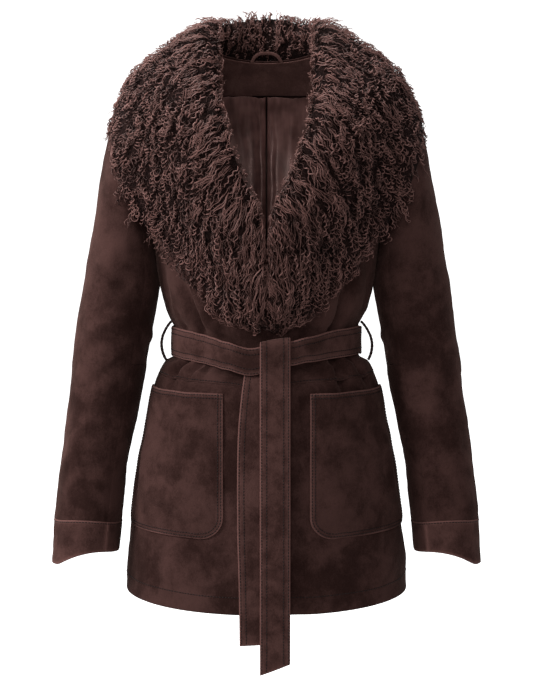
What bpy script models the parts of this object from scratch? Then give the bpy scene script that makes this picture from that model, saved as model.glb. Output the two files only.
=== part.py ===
"""A belted suede coat with a shaggy fur shawl collar, filled out as if worn, with nobody inside.

Metres, +Z up, the front towards -Y and the wearer's left towards +X. The origin lies between
the shoulders, level with the base of the neck, where the wearer carries the coat.
"""

from collections import namedtuple
from math import asin, copysign, cos, dist, exp, hypot, pi, radians, sin, sqrt

import bmesh
import bpy
from mathutils import Vector
from mathutils.bvhtree import BVHTree

# Cloth thicknesses and the gaps between pieces
SUEDE = 0.0018
FACING = 0.0015
SATIN = 0.0010
BELT_STRAP = 0.0030
POCKET_WALL = 0.0020
SEAM_GAP = 0.0004
LAY_GAP = 0.0006
LINING_GAP = 0.0009

# Level rings of the body, from the hem up. Each is a squared oval, which may tilt front and back.
Level = namedtuple("Level", "z_side z_front z_back half_width depth_front depth_back")
LEVELS = (
    Level(-0.7385, -0.7450, -0.7385, 0.1985, 0.1450, 0.1350),
    Level(-0.7037, -0.7047, -0.7030, 0.1969, 0.1440, 0.1330),
    Level(-0.6603, -0.6611, -0.6596, 0.1924, 0.1420, 0.1310),
    Level(-0.6170, -0.6176, -0.6164, 0.1870, 0.1400, 0.1290),
    Level(-0.5595, -0.5600, -0.5591, 0.1784, 0.1360, 0.1260),
    Level(-0.5024, -0.5027, -0.5021, 0.1668, 0.1300, 0.1210),
    Level(-0.4597, -0.4599, -0.4595, 0.1585, 0.1230, 0.1140),
    Level(-0.4334, -0.4336, -0.4333, 0.1503, 0.1160, 0.1070),
    Level(-0.4182, -0.4184, -0.4181, 0.1411, 0.1100, 0.1000),
    Level(-0.4112, -0.4113, -0.4111, 0.1291, 0.1015, 0.0890),
    Level(-0.3910, -0.3911, -0.3910, 0.1272, 0.0995, 0.0875),
    Level(-0.3689, -0.3690, -0.3689, 0.1283, 0.1005, 0.0885),
    Level(-0.3599, -0.3599, -0.3598, 0.1328, 0.1045, 0.0920),
    Level(-0.3468, -0.3469, -0.3468, 0.1387, 0.1090, 0.0960),
    Level(-0.3328, -0.3328, -0.3328, 0.1431, 0.1130, 0.0990),
    Level(-0.2998, -0.3018, -0.2998, 0.1503, 0.1190, 0.1020),
    Level(-0.2500, -0.2559, -0.2491, 0.1569, 0.1260, 0.1070),
    Level(-0.2153, -0.2242, -0.2124, 0.1616, 0.1270, 0.1100),
    Level(-0.1709, -0.1866, -0.1650, 0.1682, 0.1240, 0.1140),
    Level(-0.1217, -0.1461, -0.1120, 0.1757, 0.1180, 0.1140),
    Level(-0.0776, -0.1118, -0.0680, 0.1832, 0.1050, 0.1040),
    Level(-0.0435, -0.0873, -0.0387, 0.1888, 0.0880, 0.0880),
    Level(-0.0221, -0.0727, -0.0193, 0.1473, 0.0720, 0.0780),
    Level(-0.0017, -0.0610, -0.0076, 0.1079, 0.0600, 0.0690),
    Level(0.0138, -0.0532, -0.0008, 0.0784, 0.0500, 0.0620),
)
HEM, WAIST_SEAM, BELT_LOW, UNDERARM, SHOULDER, NECK = 0, 7, 9, 17, 21, 24
SQUARENESS = 2.2

# How far the wrapped belt and the waist under it slant down towards the knot, by angle from the front
Slant = namedtuple("Slant", "angle drop")
SLANTS = (
    Slant(-180, 0.0),
    Slant(-92, 0.0),
    Slant(-70, -0.0028),
    Slant(-50, -0.0014),
    Slant(-40, 0.0008),
    Slant(-30, 0.0033),
    Slant(-20, 0.0066),
    Slant(-7, 0.0146),
    Slant(9, 0.0036),
    Slant(20, -0.0012),
    Slant(50, -0.0054),
    Slant(70, -0.0056),
    Slant(100, 0.0),
    Slant(180, 0.0),
)
SLANT_REACH = 0.060
SLANT_HOLD = 0.35
WAIST_Z = -0.390

# Soft folds that the tied belt gathers. Each is tallest at the belt and runs out up or down from it.
Fold = namedtuple("Fold", "angle width height length upward")
FOLDS = (
    Fold(-39, 6.0, 0.0045, 0.110, True),
    Fold(-58, 5.5, 0.0028, 0.070, True),
    Fold(-20, 6.0, 0.0030, 0.080, True),
    Fold(35, 6.0, 0.0045, 0.120, True),
    Fold(56, 5.5, 0.0030, 0.075, True),
    Fold(-128, 6.5, 0.0040, 0.120, True),
    Fold(-152, 6.0, 0.0030, 0.080, True),
    Fold(131, 6.5, 0.0042, 0.110, True),
    Fold(156, 6.0, 0.0028, 0.090, True),
    Fold(-40, 6.0, 0.0038, 0.070, False),
    Fold(-62, 6.0, 0.0026, 0.050, False),
    Fold(34, 6.0, 0.0040, 0.080, False),
    Fold(60, 6.0, 0.0026, 0.050, False),
    Fold(-130, 7.0, 0.0040, 0.120, False),
    Fold(-155, 6.0, 0.0030, 0.090, False),
    Fold(133, 7.0, 0.0040, 0.130, False),
    Fold(158, 6.0, 0.0028, 0.080, False),
)
FOLD_START, FOLD_FULL = 0.0205, 0.036

# The front edge: the roll line of the collar above, the lap past the centre below
Edge = namedtuple("Edge", "z reach")
FRONT_EDGE = (
    Edge(-0.770, -0.0275),
    Edge(-0.360, -0.0270),
    Edge(-0.300, -0.0149),
    Edge(-0.250, 0.0050),
    Edge(-0.200, 0.0297),
    Edge(-0.151, 0.0494),
    Edge(-0.102, 0.0641),
    Edge(-0.063, 0.0718),
    Edge(0.015, 0.0764),
)
LAP_INSET = 0.0036
LAP_BLEND = (0.036, 0.066)
LAP_TOP = (-0.262, -0.222)

# Armholes: how far round from the side seam they reach, to the front and to the back
ARMHOLE_FRONT = radians(35)
ARMHOLE_BACK = radians(30)
ARMHOLE_LOW_POWER = 0.6
ARMHOLE_HIGH_POWER = 0.85

# Sleeve rings from the shoulder to the cuff. outer and inner are the two ends of a ring in front view.
Ring = namedtuple("Ring", "outer_x outer_z inner_x inner_z y_middle half_depth front_rise back_rise")
RINGS = (
    Ring(0.1888, -0.0435, 0.1616, -0.2153, 0.000, 0.0700, 0.0, 0.0),
    Ring(0.2088, -0.0776, 0.1614, -0.2292, 0.000, 0.0710, 0.0, 0.0),
    Ring(0.2218, -0.1246, 0.1590, -0.2460, 0.001, 0.0705, 0.0, 0.0),
    Ring(0.2315, -0.1758, 0.1561, -0.2679, 0.002, 0.0690, 0.0, 0.0),
    Ring(0.2411, -0.2302, 0.1524, -0.2948, 0.003, 0.0670, 0.0, 0.0),
    Ring(0.2506, -0.2848, 0.1520, -0.3328, 0.003, 0.0650, 0.0, 0.0),
    Ring(0.2609, -0.3448, 0.1598, -0.3749, 0.001, 0.0630, 0.0, 0.0),
    Ring(0.2695, -0.4031, 0.1677, -0.4203, -0.003, 0.0610, 0.0, 0.0),
    Ring(0.2783, -0.4760, 0.1788, -0.4861, -0.010, 0.0575, 0.002, 0.0),
    Ring(0.2865, -0.5453, 0.1918, -0.5473, -0.018, 0.0550, 0.004, 0.0),
    Ring(0.2922, -0.6037, 0.1990, -0.6037, -0.023, 0.0540, 0.006, 0.0),
    Ring(0.2957, -0.6346, 0.2024, -0.6387, -0.026, 0.0535, 0.008, -0.002),
    Ring(0.3005, -0.7039, 0.2062, -0.6800, -0.031, 0.0525, 0.0155, -0.0055),
)
CUFF_SEAM, CUFF_END = 11, 12
SLEEVE_SQUARENESS = 2.1
TOP_COLUMNS, UNDER_COLUMNS, CUFF_COLUMNS = 13, 6, 20
FRONT_SEAM_TURN = radians(129)
BACK_SEAM_TURN = radians(250)
ARM_SEAM, ELBOW_SEAM = 3.0, 7.0
SHORT_SIDE = 0.6
HEAD_GAP = 0.0013
HEAD_LIFT = 0.0005
HEAD_EASE = 1.5

# Collar stations from the centre back to the point below the V, on the wearer's left.
# The inner end lies on the neck seam or roll line and the outer end where the hair ends.
Station = namedtuple("Station", "inner_x inner_y inner_z outer_x outer_y outer_z crest inward middle edge")
STATIONS = (
    Station(0.0006, 0.0645, -0.0018, 0.0006, 0.1145, -0.1611, 0.081, 0.014, 0.034, 0.009),
    Station(0.0255, 0.0635, 0.0002, 0.0554, 0.1100, -0.1611, 0.077, 0.014, 0.034, 0.009),
    Station(0.0500, 0.0550, 0.0041, 0.1186, 0.0920, -0.1532, 0.064, 0.017, 0.034, 0.008),
    Station(0.0696, 0.0390, 0.0079, 0.1698, 0.0700, -0.1355, 0.052, 0.021, 0.034, 0.005),
    Station(0.0814, 0.0170, 0.0118, 0.2002, 0.0450, -0.1080, 0.044, 0.025, 0.035, 0.003),
    Station(0.0824, -0.0040, 0.0118, 0.2103, 0.0120, -0.0874, 0.041, 0.028, 0.036, 0.003),
    Station(0.0814, -0.0260, -0.0027, 0.2090, -0.0280, -0.1021, 0.040, 0.027, 0.035, 0.003),
    Station(0.0786, -0.0460, -0.0260, 0.2005, -0.0500, -0.1393, 0.039, 0.026, 0.034, 0.004),
    Station(0.0757, -0.0680, -0.0571, 0.1870, -0.0620, -0.1787, 0.037, 0.025, 0.033, 0.006),
    Station(0.0709, -0.0860, -0.0864, 0.1774, -0.0670, -0.2044, 0.035, 0.025, 0.032, 0.009),
    Station(0.0622, -0.1020, -0.1177, 0.1686, -0.0670, -0.2212, 0.034, 0.024, 0.032, 0.009),
    Station(0.0514, -0.1140, -0.1511, 0.1568, -0.0660, -0.2381, 0.032, 0.025, 0.031, 0.009),
    Station(0.0356, -0.1220, -0.1846, 0.1351, -0.0700, -0.2560, 0.031, 0.023, 0.030, 0.009),
    Station(0.0208, -0.1260, -0.2123, 0.1144, -0.0880, -0.2798, 0.030, 0.022, 0.030, 0.009),
    Station(0.0119, -0.1270, -0.2380, 0.0946, -0.0980, -0.2978, 0.029, 0.012, 0.029, 0.009),
    Station(0.0030, -0.1240, -0.2679, 0.0787, -0.1030, -0.3178, 0.028, 0.003, 0.028, 0.009),
    Station(0.0020, -0.1200, -0.2978, 0.0659, -0.1040, -0.3398, 0.027, 0.001, 0.027, 0.009),
    Station(0.0020, -0.1160, -0.3278, 0.0429, -0.1050, -0.3539, 0.024, 0.001, 0.024, 0.009),
    Station(0.0020, -0.1100, -0.3499, 0.0180, -0.1050, -0.3609, 0.018, 0.001, 0.018, 0.009),
)
CLOSE_STATIONS = range(2, 9)
COLLAR_COLUMNS = 10
COLLAR_LIFT = 0.0014
COLLAR_SEAT = 0.0005
COLLAR_CLEAR = 0.0008
CREST_REACH = 0.45
EDGE_START = 0.4
COLLAR_HALF_GAP = 0.0006
CAST_REACH = 0.25
SEAT_EASE = 4
UNDER_SHARE, UNDER_INWARD = 0.30, 0.75
OVER_SHARE = 0.70
CORE_SHARE = 0.92
CORE_HALF_WIDTH = 0.152
CORE_DROP = 0.020
CORE_TOP = -0.150
BRIDGE_PASSES = 12
CLEAR_PASSES = 40
FACET_SAMPLES = 5
LIFT_OVER = 0.0001

# Patch pockets, as placed on the skirt fronts
POCKET_TOP, POCKET_BOTTOM = -0.4482, -0.6423
POCKET_TOP_FALL = 0.004
POCKET_INNER = 0.058
POCKET_OUTER_TURN = radians(87)
POCKET_CORNER = 0.030
POCKET_CORNER_ROWS = (0.0, 0.08, 0.3, 0.62, 1.0)
POCKET_ROWS = (0.22, 0.44, 0.66, 0.84, 1.0)
POCKET_COLUMNS = 10
POCKET_ROUND_INNER, POCKET_ROUND_OUTER = 0.80, 1.10
POCKET_SWELL = 0.003
POCKET_SWELL_TOP = 0.6
POCKET_MOUTH = 0.0028
POCKET_EASE = 0.05

# Facing, lining and hanger loop inside the back
FACING_TOP_STEP = 0.0030
FACING_DEPTH = 0.046
FACING_HALF_WIDTH = 0.078
FACING_SHARE = 0.93
FACING_COLUMNS = 12
LINING_END = -0.715
LINING_SIDE_COLUMNS = 2
PLEAT_SHARE = 0.02
PLEAT_DEPTH = 0.004
HANGER_WIDTH, HANGER_HEIGHT = 0.042, 0.0125
HANGER_STRAP, HANGER_THICKNESS = 0.0045, 0.0020
HANGER_FOOT = 0.002
HANGER_SQUARENESS = 3.2
HANGER_STEPS = 12

# Belt: the band round the waist, then the two hanging ends
BandRow = namedtuple("BandRow", "angle half_height")
BAND_HEIGHTS = (
    BandRow(-180, 0.0205),
    BandRow(-60, 0.0205),
    BandRow(-7, 0.0187),
    BandRow(9, 0.0166),
    BandRow(50, 0.0195),
    BandRow(180, 0.0205),
)
BAND_HALF_HEIGHT = 0.0205
BAND_CLEAR = 0.0008
BAND_COLUMNS = 52
KNOT_STAND = 0.0140
KNOT_TURN = radians(14)
TAIL_WIDTH = 0.041
FRONT_TAIL_MIDDLE = 0.0115
FRONT_TAIL_TOP = -0.3745
FRONT_TAIL_SLANT = 0.006
FRONT_TAIL_BACK_END = -0.400
FRONT_TAIL_END = (-0.8262, -0.8104)
FRONT_TAIL_TURN_STEPS = 6
FRONT_TAIL_ROWS = (-0.400, -0.418, -0.433, -0.446, -0.459, -0.480, -0.501, -0.557, -0.613, -0.697, -0.742)
BACK_TAIL_ROWS = (0, 0.5, 1, 1.5, 2, 2.5, 3, 4, 5, 5.5, 6, 7)
TAIL_RISES = (-0.002, 0.0, 0.002)
TAIL_ACROSS = (-0.018, -0.009, 0.0, 0.009, 0.018)
TailRow = namedtuple("TailRow", "z middle")
BACK_TAIL = (
    TailRow(-0.4144, -0.0085),
    TailRow(-0.4285, -0.0105),
    TailRow(-0.4508, -0.0135),
    TailRow(-0.4915, -0.0171),
    TailRow(-0.5426, -0.0187),
    TailRow(-0.6248, -0.0187),
    TailRow(-0.7077, -0.0168),
    TailRow(-0.7851, -0.0158),
)

# Cord belt loops at the side seams
LOOP_RADIUS = 0.0011
LOOP_BULGE = 0.0100
LOOP_HIGH, LOOP_LOW = -0.3625, -0.4165
LOOP_STEPS = 14
LOOP_ROUNDNESS = 0.8

# Colours, as linear values of the photographed browns
SUEDE_BROWN = (0.040, 0.021, 0.019)
FUR_BROWN = (0.036, 0.017, 0.015)
SATIN_BROWN = (0.062, 0.030, 0.028)


def shared(value, low, high):
    """The share of the way from low to high, eased at both ends."""
    part = min(max((value - low) / (high - low), 0.0), 1.0)
    return part * part * (3 - 2 * part)


def squared(value, squareness):
    """A sine or cosine reshaped so that a circle becomes a squared oval."""
    return copysign(abs(value) ** (2 / squareness), value)


def stops_along(points):
    """Each point's distance along the line through them all."""
    stops = [0.0]
    for before, after in zip(points, points[1:]):
        stops.append(stops[-1] + dist(before, after))
    return stops


def on_curve(rows, stops, position):
    """The row at a fractional row number, on a smooth cubic through every row."""
    index = min(max(int(position), 0), len(rows) - 2)
    part = position - index
    span = stops[index + 1] - stops[index]

    def slope(row):
        low, high = max(row - 1, 0), min(row + 1, len(rows) - 1)
        scale = span / (stops[high] - stops[low])
        return [(b - a) * scale for a, b in zip(rows[low], rows[high])]

    start_weight = (1 + 2 * part) * (1 - part) ** 2
    end_weight = part**2 * (3 - 2 * part)
    leave_weight = part * (1 - part) ** 2
    arrive_weight = part**2 * (part - 1)
    return [
        start_weight * start + leave_weight * leave + end_weight * end + arrive_weight * arrive
        for start, leave, end, arrive in zip(rows[index], slope(index), rows[index + 1], slope(index + 1))
    ]


def between(table, key):
    """The second column of a two-column table at a value of the first, eased between rows."""
    for low, high in zip(table, table[1:]):
        if key <= high[0]:
            break
    return low[1] + (high[1] - low[1]) * shared(key, low[0], high[0])


LEVEL_STOPS = stops_along([(row.half_width, row.z_side) for row in LEVELS])


def step_along(level, distance):
    """The level reached by going a real distance up the coat's side from a level."""
    index = min(int(level), len(LEVELS) - 2)
    if distance < 0 and level == index:
        index -= 1
    return level + distance / (LEVEL_STOPS[index + 1] - LEVEL_STOPS[index])


def ring_at(level):
    """The body ring at a fractional level."""
    return Level(*on_curve(LEVELS, LEVEL_STOPS, level))


def waist_drop(angle, z):
    """How far a point near the waist is pulled down by the slanted belt."""
    turn = (angle / pi * 180 + 180) % 360 - 180
    reach = min(abs(z - WAIST_Z) / SLANT_REACH, 1.0)
    return between(SLANTS, turn) * (1 - shared(reach, SLANT_HOLD, 1.0))


def fold_height(angle, z):
    """How far the folds gathered by the belt lift the cloth outwards at a point."""
    turn = (angle / pi * 180 + 180) % 360 - 180
    total = 0.0
    for fold in FOLDS:
        run = (z - WAIST_Z) if fold.upward else (WAIST_Z - z)
        if run <= FOLD_START or run >= fold.length + BAND_HALF_HEIGHT:
            continue
        rise = shared(run, FOLD_START, FOLD_FULL)
        fade = 1 - shared(run, BAND_HALF_HEIGHT, fold.length + BAND_HALF_HEIGHT)
        total += fold.height * rise * fade * exp(-(((turn - fold.angle) / fold.width) ** 2))
    return total


def torso_point(angle, level):
    """A point of the coat's outer face. The angle runs from the centre front to the wearer's left."""
    ring = ring_at(level)
    forward, sideways = cos(angle), sin(angle)
    depth = ring.depth_front if forward > 0 else ring.depth_back
    z_end = ring.z_front if forward > 0 else ring.z_back
    z = ring.z_side + (z_end - ring.z_side) * forward**2
    lift = fold_height(angle, z)
    return Vector(
        (
            (ring.half_width + lift) * squared(sideways, SQUARENESS),
            -(depth + lift) * squared(forward, SQUARENESS),
            z - waist_drop(angle, z),
        )
    )


def normal_of(surface, u, v, u_step, v_step):
    """The unit normal of a surface function, pointing along du x dv."""
    along = surface(u + u_step, v) - surface(u - u_step, v)
    up = surface(u, v + v_step) - surface(u, v - v_step)
    return along.cross(up).normalized()


def torso_face(angle, level):
    """A point of the coat's outer face, with the outward normal there."""
    low, high = max(level, 0.02), min(level, NECK - 0.02)
    return torso_point(angle, level), normal_of(torso_point, angle, min(low, high), 0.01, 0.02)


def level_at(z, angle):
    """The level whose outer face is at a height, by halving the range below the shoulder."""
    low, high = float(HEM), float(SHOULDER)
    for _ in range(30):
        middle = (low + high) / 2
        if torso_point(angle, middle).z < z:
            low = middle
        else:
            high = middle
    return (low + high) / 2


def angle_at(x, level):
    """The angle on the front at which the body ring is at a distance from the centre."""
    half_width = ring_at(level).half_width
    return copysign(asin(min(abs(x) / half_width, 1.0) ** (SQUARENESS / 2)), x)


def front_edge_angle(level):
    """The angle of a front panel's free edge: the roll line, then the lap past the centre."""
    z = ring_at(level).z_side
    for _ in range(8):
        angle = angle_at(between(FRONT_EDGE, z), level)
        z = torso_point(angle, level).z
    return angle


def armhole_angle(level, widest):
    """How far from the side seam the armhole's edge lies at a level."""
    if not UNDERARM < level < SHOULDER:
        return 0.0
    part = (level - UNDERARM) / (SHOULDER - UNDERARM)
    peak = ARMHOLE_LOW_POWER / (ARMHOLE_LOW_POWER + ARMHOLE_HIGH_POWER)
    shape = part**ARMHOLE_LOW_POWER * (1 - part) ** ARMHOLE_HIGH_POWER
    return widest * shape / (peak**ARMHOLE_LOW_POWER * (1 - peak) ** ARMHOLE_HIGH_POWER)


SLEEVE_STOPS = stops_along(
    [((row.outer_x + row.inner_x) / 2, row.y_middle, (row.outer_z + row.inner_z) / 2) for row in RINGS]
)


def armhole_point(side, turn):
    """The start of the sleeve, just off the panels' armhole edge. Turn runs from the top to the front."""
    level = UNDERARM + (SHOULDER - UNDERARM) * (1 + cos(turn)) / 2
    forward = sin(turn) >= 0

    def edge(at_level):
        widest = ARMHOLE_FRONT if forward else ARMHOLE_BACK
        from_side = armhole_angle(at_level, widest)
        return pi / 2 - from_side if forward else pi / 2 + from_side

    angle = edge(level)
    point, normal = torso_face(angle, level)
    near = min(max(level, UNDERARM + 0.02), SHOULDER - 0.02)
    before, after = near - 0.02, near + 0.02
    along = torso_point(edge(after), after) - torso_point(edge(before), before)
    away = along.cross(normal) if forward else normal.cross(along)
    if away.x < 0 and level < SHOULDER - 1:
        away.x = abs(away.x)
    point = point + away.normalized() * HEAD_GAP + normal * HEAD_LIFT
    return Vector((side * point.x, point.y, point.z))


def ring_point(side, turn, index):
    """A point of one sleeve ring. Turn is 0 at the outer end, a quarter at the front."""
    if index == 0:
        return armhole_point(side, turn)
    row = RINGS[index]
    across, deep = squared(cos(turn), SLEEVE_SQUARENESS), squared(sin(turn), SLEEVE_SQUARENESS)
    middle_x, middle_z = (row.outer_x + row.inner_x) / 2, (row.outer_z + row.inner_z) / 2
    rise = row.front_rise * max(sin(turn), 0) ** 2 + row.back_rise * max(-sin(turn), 0) ** 2
    return Vector(
        (
            side * (middle_x + (row.outer_x - row.inner_x) / 2 * across),
            row.y_middle - row.half_depth * deep,
            middle_z + (row.outer_z - row.inner_z) / 2 * across + rise,
        )
    )


def sleeve_point(side, turn, station):
    """A point of the sleeve's outer face, on smooth lines through the rings."""
    index = min(max(int(station), 0), len(RINGS) - 2)
    first, last = max(index - 1, 0), min(index + 2, len(RINGS) - 1)
    rows = [ring_point(side, turn, row) for row in range(first, last + 1)]
    return Vector(on_curve(rows, SLEEVE_STOPS[first : last + 1], station - first))


def sleeve_face(side, turn, station):
    """A point of the sleeve's outer face, with the outward normal there."""

    def surface(u, v):
        return sleeve_point(side, u, v)

    inside = min(max(station, 0.03), CUFF_END - 0.03)
    normal = normal_of(surface, turn, inside, 0.02, 0.03)
    return sleeve_point(side, turn, station), normal * side


def principled(name, colour, roughness, sheen=0.0):
    """A material of one colour."""
    material = bpy.data.materials.new(name)
    material.use_nodes = True
    shader = material.node_tree.nodes["Principled BSDF"]
    shader.inputs["Base Color"].default_value = (*colour, 1)
    shader.inputs["Roughness"].default_value = roughness
    shader.inputs["Metallic"].default_value = 0.0
    shader.inputs["Sheen Weight"].default_value = sheen
    material.diffuse_color = (*colour, 1)
    return material


def put_in_scene(name, bm, material):
    """Makes the object of a finished mesh."""
    bmesh.ops.recalc_face_normals(bm, faces=bm.faces)
    if bm.calc_volume(signed=True) < 0:
        bmesh.ops.reverse_faces(bm, faces=bm.faces)
    mesh = bpy.data.meshes.new(name)
    bm.to_mesh(mesh)
    bm.free()
    mesh.materials.append(material)
    mesh.shade_smooth()
    mesh.set_sharp_from_angle(angle=radians(40))
    obj = bpy.data.objects.new(name, mesh)
    bpy.context.scene.collection.objects.link(obj)
    return obj


def add_wall(name, material, columns, rows, outer, inner):
    """A closed cloth wall: a grid stretched over outer(u, v), its other face over inner(u, v).

    columns is the number of steps across, and rows the list of v values of its lines up.
    """
    bm = bmesh.new()
    bmesh.ops.create_grid(bm, x_segments=columns, y_segments=len(rows) - 1, size=1)
    front = set(bm.verts)
    bmesh.ops.extrude_face_region(bm, geom=bm.faces[:], use_keep_orig=True)
    for vert in bm.verts:
        u = (vert.co.x + 1) / 2
        v = rows[round((vert.co.y + 1) / 2 * (len(rows) - 1))]
        vert.co = outer(u, v) if vert in front else inner(u, v)
    return put_in_scene(name, bm, material)


def add_panel(name, material, columns, rows, face_at, thickness=SUEDE, inset=None):
    """A wall whose outer face is at face_at(u, v), which gives a point and a normal."""

    def outer(u, v):
        point, normal = face_at(u, v)
        return point - normal * (inset(point) if inset else 0.0)

    def inner(u, v):
        point, normal = face_at(u, v)
        return point - normal * (thickness + (inset(point) if inset else 0.0))

    return add_wall(name, material, columns, rows, outer, inner)


def half_seam_turn(level):
    """Half a seam's gap as an angle round the body at a level."""
    ring = ring_at(level)
    return SEAM_GAP / 2 / ((ring.half_width + ring.depth_front) / 2)


def side_angle(level, widest):
    """The angle, from the front or the back, of a panel's side edge: side seam, armhole, shoulder."""
    return pi / 2 - armhole_angle(level, widest) - half_seam_turn(level)


def levels_between(first, last, extra=()):
    """The named levels from first to last, with the ends moved off the seams and some rows added."""
    inside = [level for level in range(int(first) + 1, int(last) + 1) if first < level < last]
    return sorted([first, *inside, *extra, last])


def lap_inset(side):
    """How far the under front lies behind the one that laps over it."""

    def inset(point):
        below_v = 1 - shared(point.z, *LAP_TOP)
        return LAP_INSET * below_v * (1 - shared(point.x * side, *LAP_BLEND))

    return inset


def add_front(name, material, side, rows, columns):
    """A front panel, from its free edge round to the side seam, armhole and shoulder."""

    def face_at(u, level):
        start = front_edge_angle(level)
        return torso_face(side * (start + (side_angle(level, ARMHOLE_FRONT) - start) * u), level)

    return add_panel(name, material, columns, rows, face_at, inset=lap_inset(side) if side > 0 else None)


def back_face(u, level):
    """A point and normal of the back, from the wearer's left side seam or shoulder to the right."""
    return torso_face(pi + side_angle(level, ARMHOLE_BACK) * (2 * u - 1), level)


BODICE_ROWS = levels_between(
    step_along(WAIST_SEAM, SEAM_GAP / 2), NECK, extra=(17.35, 18.5, 19.5, 23.5)
)
SKIRT_ROWS = levels_between(HEM, step_along(WAIST_SEAM, -SEAM_GAP / 2))
CHEST_ROWS = [step_along(UNDERARM, SEAM_GAP / 2), *[row for row in BODICE_ROWS if row > UNDERARM]]
WAIST_ROWS = [*[row for row in BODICE_ROWS if row < UNDERARM], step_along(UNDERARM, -SEAM_GAP / 2)]
BACK_COLUMNS, FRONT_COLUMNS = 22, 13


def inside_back(u, level, depth):
    """A point and normal behind the back's flat facets, so that what lies there keeps its gap."""
    rows = SKIRT_ROWS if level < WAIST_SEAM else BODICE_ROWS
    low = max([row for row in rows if row <= level], default=rows[0])
    high = min([row for row in rows if row >= level], default=rows[-1])
    up = (level - low) / (high - low) if high > low else 0.0
    column = min(int(u * BACK_COLUMNS), BACK_COLUMNS - 1)
    across = u * BACK_COLUMNS - column
    ends = []
    for row in (low, high):
        (left, left_normal), (right, right_normal) = (
            back_face((column + step) / BACK_COLUMNS, row) for step in (0, 1)
        )
        point = (left - left_normal * depth).lerp(right - right_normal * depth, across)
        ends.append((point, left_normal.lerp(right_normal, across)))
    return ends[0][0].lerp(ends[1][0], up), ends[0][1].lerp(ends[1][1], up).normalized()


def add_body(material):
    """The bodice and the skirt, meeting in the waist seam. Each front is in two solids above it."""
    stretches = (("chest", CHEST_ROWS), ("waist", WAIST_ROWS), ("skirt", SKIRT_ROWS))
    pieces = [
        add_panel("back_upper", material, BACK_COLUMNS, BODICE_ROWS, back_face),
        add_panel("back_skirt", material, BACK_COLUMNS, SKIRT_ROWS, back_face),
    ]
    for side, hand in ((1, "left"), (-1, "right")):
        for part, rows in stretches:
            pieces.append(add_front(f"front_{part}_{hand}", material, side, rows, FRONT_COLUMNS))
    return pieces


def add_sleeve_piece(name, material, side, turns, stations, columns):
    """A piece of sleeve between two turns and along some stations."""
    start, end = turns

    def face_at(u, station):
        half_gap = SEAM_GAP * (0.75 + HEAD_EASE * (1 - shared(station, 0, 2))) / RINGS[1].half_depth
        low, high = start + half_gap, end - half_gap
        return sleeve_face(side, low + (high - low) * u, station)

    return add_panel(name, material, columns, stations, face_at)


def stations_between(first, last):
    """Whole sleeve stations between two, with half the seam's gap left at each end, on the short side too."""
    gap = SEAM_GAP / 2 / (SHORT_SIDE * SLEEVE_STOPS[CUFF_END] / CUFF_END)
    inside = [station for station in range(int(first) + 1, int(last) + 1) if station < last]
    return [first + (gap if first else 0.0), *inside, last - (gap if last < CUFF_END else 0.0)]


def add_sleeve(material, side, hand):
    """Both parts of a two-piece sleeve, cut below the elbow, and the top one on the upper arm too."""
    outer, under = (BACK_SEAM_TURN - 2 * pi, FRONT_SEAM_TURN), (FRONT_SEAM_TURN, BACK_SEAM_TURN)
    stretches = (
        ("topsleeve_head", outer, TOP_COLUMNS, 0, ARM_SEAM),
        ("topsleeve_high", outer, TOP_COLUMNS, ARM_SEAM, ELBOW_SEAM),
        ("topsleeve_low", outer, TOP_COLUMNS, ELBOW_SEAM, CUFF_SEAM),
        ("undersleeve_high", under, UNDER_COLUMNS, 0, ELBOW_SEAM),
        ("undersleeve_low", under, UNDER_COLUMNS, ELBOW_SEAM, CUFF_SEAM),
    )
    pieces = []
    for name, turns, columns, first, last in stretches:
        stations = stations_between(first, last)
        pieces.append(add_sleeve_piece(f"{name}_{hand}", material, side, turns, stations, columns))
    return pieces


def add_cuff(material, side, hand):
    """The band at the sleeve's end, joined at the back seam."""
    turns = (BACK_SEAM_TURN - 2 * pi, BACK_SEAM_TURN)
    stations = [stations_between(CUFF_SEAM, CUFF_END)[0], 11.5, CUFF_END]
    return add_sleeve_piece(f"cuff_{hand}", material, side, turns, stations, CUFF_COLUMNS)


def tree_of(pieces):
    """A search tree over the faces of several objects."""
    points, faces = [], []
    for piece in pieces:
        start = len(points)
        points.extend(vert.co.copy() for vert in piece.data.vertices)
        faces.extend([start + index for index in polygon.vertices] for polygon in piece.data.polygons)
    return BVHTree.FromPolygons(points, faces)


def outward(point):
    """The way from the coat's core out through a point on the shoulders, chest or back."""
    core = Vector(
        (
            min(max(point.x * CORE_SHARE, -CORE_HALF_WIDTH), CORE_HALF_WIDTH),
            0.0,
            min(point.z - CORE_DROP, CORE_TOP),
        )
    )
    return (point - core).normalized()


STATION_STOPS = stops_along(
    [
        ((row.inner_x + row.outer_x) / 2, (row.inner_y + row.outer_y) / 2, (row.inner_z + row.outer_z) / 2)
        for row in STATIONS
    ]
)
COLLAR_ROWS = [
    Station(*on_curve(STATIONS, STATION_STOPS, index + half))
    for index in range(len(STATIONS))
    for half in ((0.0, 0.5) if index in CLOSE_STATIONS else (0.0,))
]


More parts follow.
